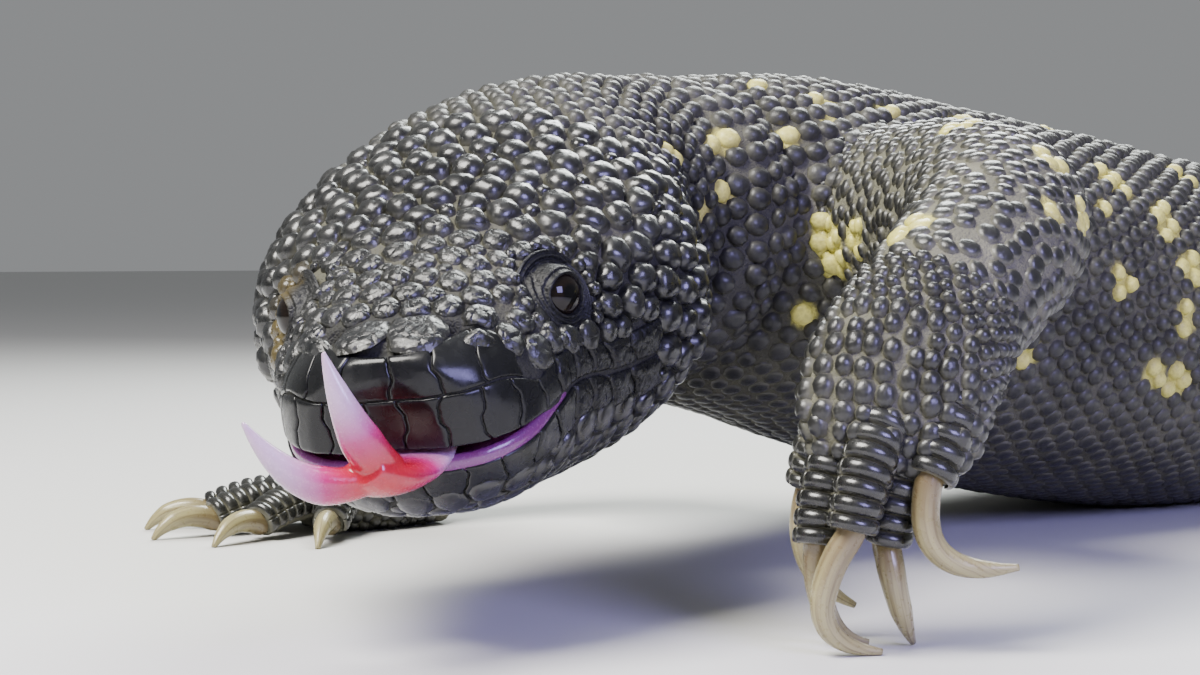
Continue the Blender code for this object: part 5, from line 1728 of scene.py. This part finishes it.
class OBJECT_OT_lizard_mouth(bpy.types.Operator):
    """Builds the forked tongue, red at its root and pale at its tips, and the flesh inside the lower lip"""

    bl_idname = "object.lizard_mouth"
    bl_label = "Tongue and Inner Lip"

    def execute(self, context):
        self.tongue()
        shape = lip_roll_shape(mesh_tree(*HEAD.mesh(1.0, 128)))
        roll = Tube("inner_lip", path_frames(shape, HEAD_UP), 0.0, shape[-1, 0])
        mesh = mesh_from("inner_lip", *roll.mesh(0.7, 16))
        set_marks(mesh, tip=0.0)
        finish_piece(add_object("inner_lip", mesh), self.wet_lip(), "tongue_flesh")
        return {"FINISHED"}

    def tongue(self):
        body = TONGUE_BODY.copy()
        body[:, 1:4] = from_head(TONGUE_BODY[:, 1:4])
        parts = [Tube("tongue", path_frames(body, HEAD_LEFT), 0.0, body[-1, 0]).mesh(0.6, 40)]
        wide, thin = TINE_RADIUS, TINE_RADIUS * 0.75
        sizes = [(wide, thin, thin), (wide * 0.95, thin, thin), (1.5, 1.2, 1.2), (0.3, 0.3, 0.3)]
        for first, bend, last in TONGUE_TINES:
            points = bend_points(from_head(first), from_head(bend), from_head(last), 9)
            shape = taper_shape(points, sizes)
            tine = Tube("tine", path_frames(shape, HEAD_LEFT + HEAD_UP * 0.3), 0.0, shape[-1, 0])
            parts.append(tine.mesh(0.5, 32))
        tongue = add_object("tongue_flesh", mesh_from("tongue_flesh", *join_meshes(parts)))
        one_form(tongue, TONGUE_GRAIN, 8)
        points = mesh_points(tongue.data)
        fork = from_head(TONGUE_FORK)
        set_marks(tongue.data, tip=smooth_step(np.linalg.norm(points - fork, axis=1), 2.5, 12.0))
        finish_piece(tongue, self.flesh(), "tongue_flesh", "tongue")

    def flesh(self):
        p = looks()
        material, tree, shader = self.wet("tongue_flesh")
        tip = attribute(tree, "tip")
        past_root = map_range(tree, tip, 0.0, 0.5, 0.0, 1.0)
        middle = mix_colours(tree, past_root, p.tongue_colour, p.tongue_middle_colour)
        ends = mix_colours(tree, map_range(tree, tip, 0.4, 1.0, 0.0, 1.0), middle, p.tongue_tip_colour)
        tree.links.new(ends, shader.inputs["Base Color"])
        return material

    def wet_lip(self):
        material, tree, shader = self.wet("inner_lip")
        blotch = add_node(tree, "ShaderNodeTexNoise", in_Scale=350.0, in_Detail=3.0)
        colour = mix_colours(tree, blotch.outputs[0], looks().lining_colour, looks().lip_flesh_colour)
        tree.links.new(colour, shader.inputs["Base Color"])
        return material

    def wet(self, name):
        """Moist, finely grained flesh, still without its colour."""
        material, tree, shader = new_paint(
            name, Subsurface_Weight=0.12, Subsurface_Radius=(0.0015, 0.0007, 0.0007), Coat_Weight=0.5,
            Coat_Roughness=0.08)
        grain = grain_node(tree, 2200.0, 0.3)
        rough = map_range(tree, grain.outputs["Height"], 0.3, 0.8, 0.16, 0.34)
        tree.links.new(rough, shader.inputs["Roughness"])
        add_bump(tree, shader, grain.outputs["Height"], 0.00005)
        return material, tree, shader


# The studio: half the floor's side in metres, each light's name, place and size in millimetres, power in
# watts and colour, the place that they are aimed at, and the air's colour and strength
FLOOR_REACH = 6.0
LIGHTS = (
    ("key", (-40.0, -380.0, 520.0), 330.0, 11.5, (1.0, 0.97, 0.91)),
    ("cool_fill", (500.0, -200.0, 260.0), 220.0, 3.4, (0.46, 0.42, 1.0)),
    ("back", (-200.0, 420.0, 480.0), 360.0, 7.5, (0.96, 1.0, 0.97)),
)
LIGHTS_AIM = (20.0, -60.0, 40.0)
AIR_COLOUR, AIR_STRENGTH = (0.84, 0.86, 0.88, 1.0), 0.32


class SCENE_OT_lizard_stage(bpy.types.Operator):
    """Sets the pale floor, the soft lights and the camera"""

    bl_idname = "scene.lizard_stage"
    bl_label = "Stage"

    def execute(self, context):
        self.floor()
        for row in LIGHTS:
            self.light(*row)
        world = bpy.data.worlds.new("studio")
        context.scene.world = world
        world.use_nodes = True
        world.node_tree.nodes["Background"].inputs[0].default_value = AIR_COLOUR
        world.node_tree.nodes["Background"].inputs[1].default_value = AIR_STRENGTH
        data = bpy.data.cameras.new("view")
        camera = context.scene.camera = add_object("view", data, False)
        data.lens, data.sensor_width = LENS, SENSOR
        data.clip_start, data.clip_end = 0.01, 50.0
        ahead = camera_rays([(PICTURE[0] / 2, PICTURE[1] / 2)])[0]
        camera.location = place(CAMERA_PLACE)
        camera.rotation_euler = Vector(ahead).to_track_quat("-Z", "Y").to_euler()
        return {"FINISHED"}

    def floor(self):
        corners = [(x * FLOOR_REACH, y * FLOOR_REACH, 0.0) for x, y in ((-1, -1), (1, -1), (1, 1), (-1, 1))]
        mesh = bpy.data.meshes.new("floor")
        mesh.from_pydata(corners, [], [(0, 1, 2, 3)])
        floor = add_object("floor", mesh, False)
        mesh.materials.append(new_paint("floor", Base_Color=(*looks().floor_colour, 1.0), Roughness=0.8)[0])

    def light(self, name, place_at, size, power, colour):
        """A square soft light, placed in millimetres from the shoulders and aimed at the neck."""
        data = bpy.data.lights.new(name, "AREA")
        data.size, data.energy, data.color = size * MM, power, colour
        lamp = add_object(name, data, False)
        lamp.location = place(place_at)
        aim = Vector(place(LIGHTS_AIM)) - lamp.location
        lamp.rotation_euler = aim.to_track_quat("-Z", "Y").to_euler()


class VIEW3D_PT_lizard(bpy.types.Panel):
    """Lists the lizard's settings and its pieces"""

    bl_idname = "VIEW3D_PT_lizard"
    bl_label = "Beaded Lizard"
    bl_space_type = "VIEW_3D"
    bl_region_type = "UI"
    bl_category = "Lizard"

    def draw(self, context):
        settings = context.scene.lizard_looks
        for name in LizardLooks.__annotations__:
            self.layout.prop(settings, name)
        for operator in OPERATORS:
            self.layout.operator(operator.bl_idname)


OPERATORS = (
    OBJECT_OT_lizard_skin,
    OBJECT_OT_lizard_beads,
    OBJECT_OT_lizard_plates,
    OBJECT_OT_lizard_eyes,
    OBJECT_OT_lizard_claws,
    OBJECT_OT_lizard_mouth,
    SCENE_OT_lizard_stage,
)


def register():
    for cls in (LizardLooks, *OPERATORS, VIEW3D_PT_lizard):
        bpy.utils.register_class(cls)
    bpy.types.Scene.lizard_looks = PointerProperty(type=LizardLooks)


def unregister():
    del bpy.types.Scene.lizard_looks
    for cls in reversed((LizardLooks, *OPERATORS, VIEW3D_PT_lizard)):
        bpy.utils.unregister_class(cls)


def main():
    register()
    bpy.ops.object.lizard_skin()
    bpy.ops.object.lizard_beads()
    bpy.ops.object.lizard_plates()
    bpy.ops.object.lizard_eyes()
    bpy.ops.object.lizard_claws()
    bpy.ops.object.lizard_mouth()
    bpy.ops.scene.lizard_stage()


if __name__ == "__main__":
    main()
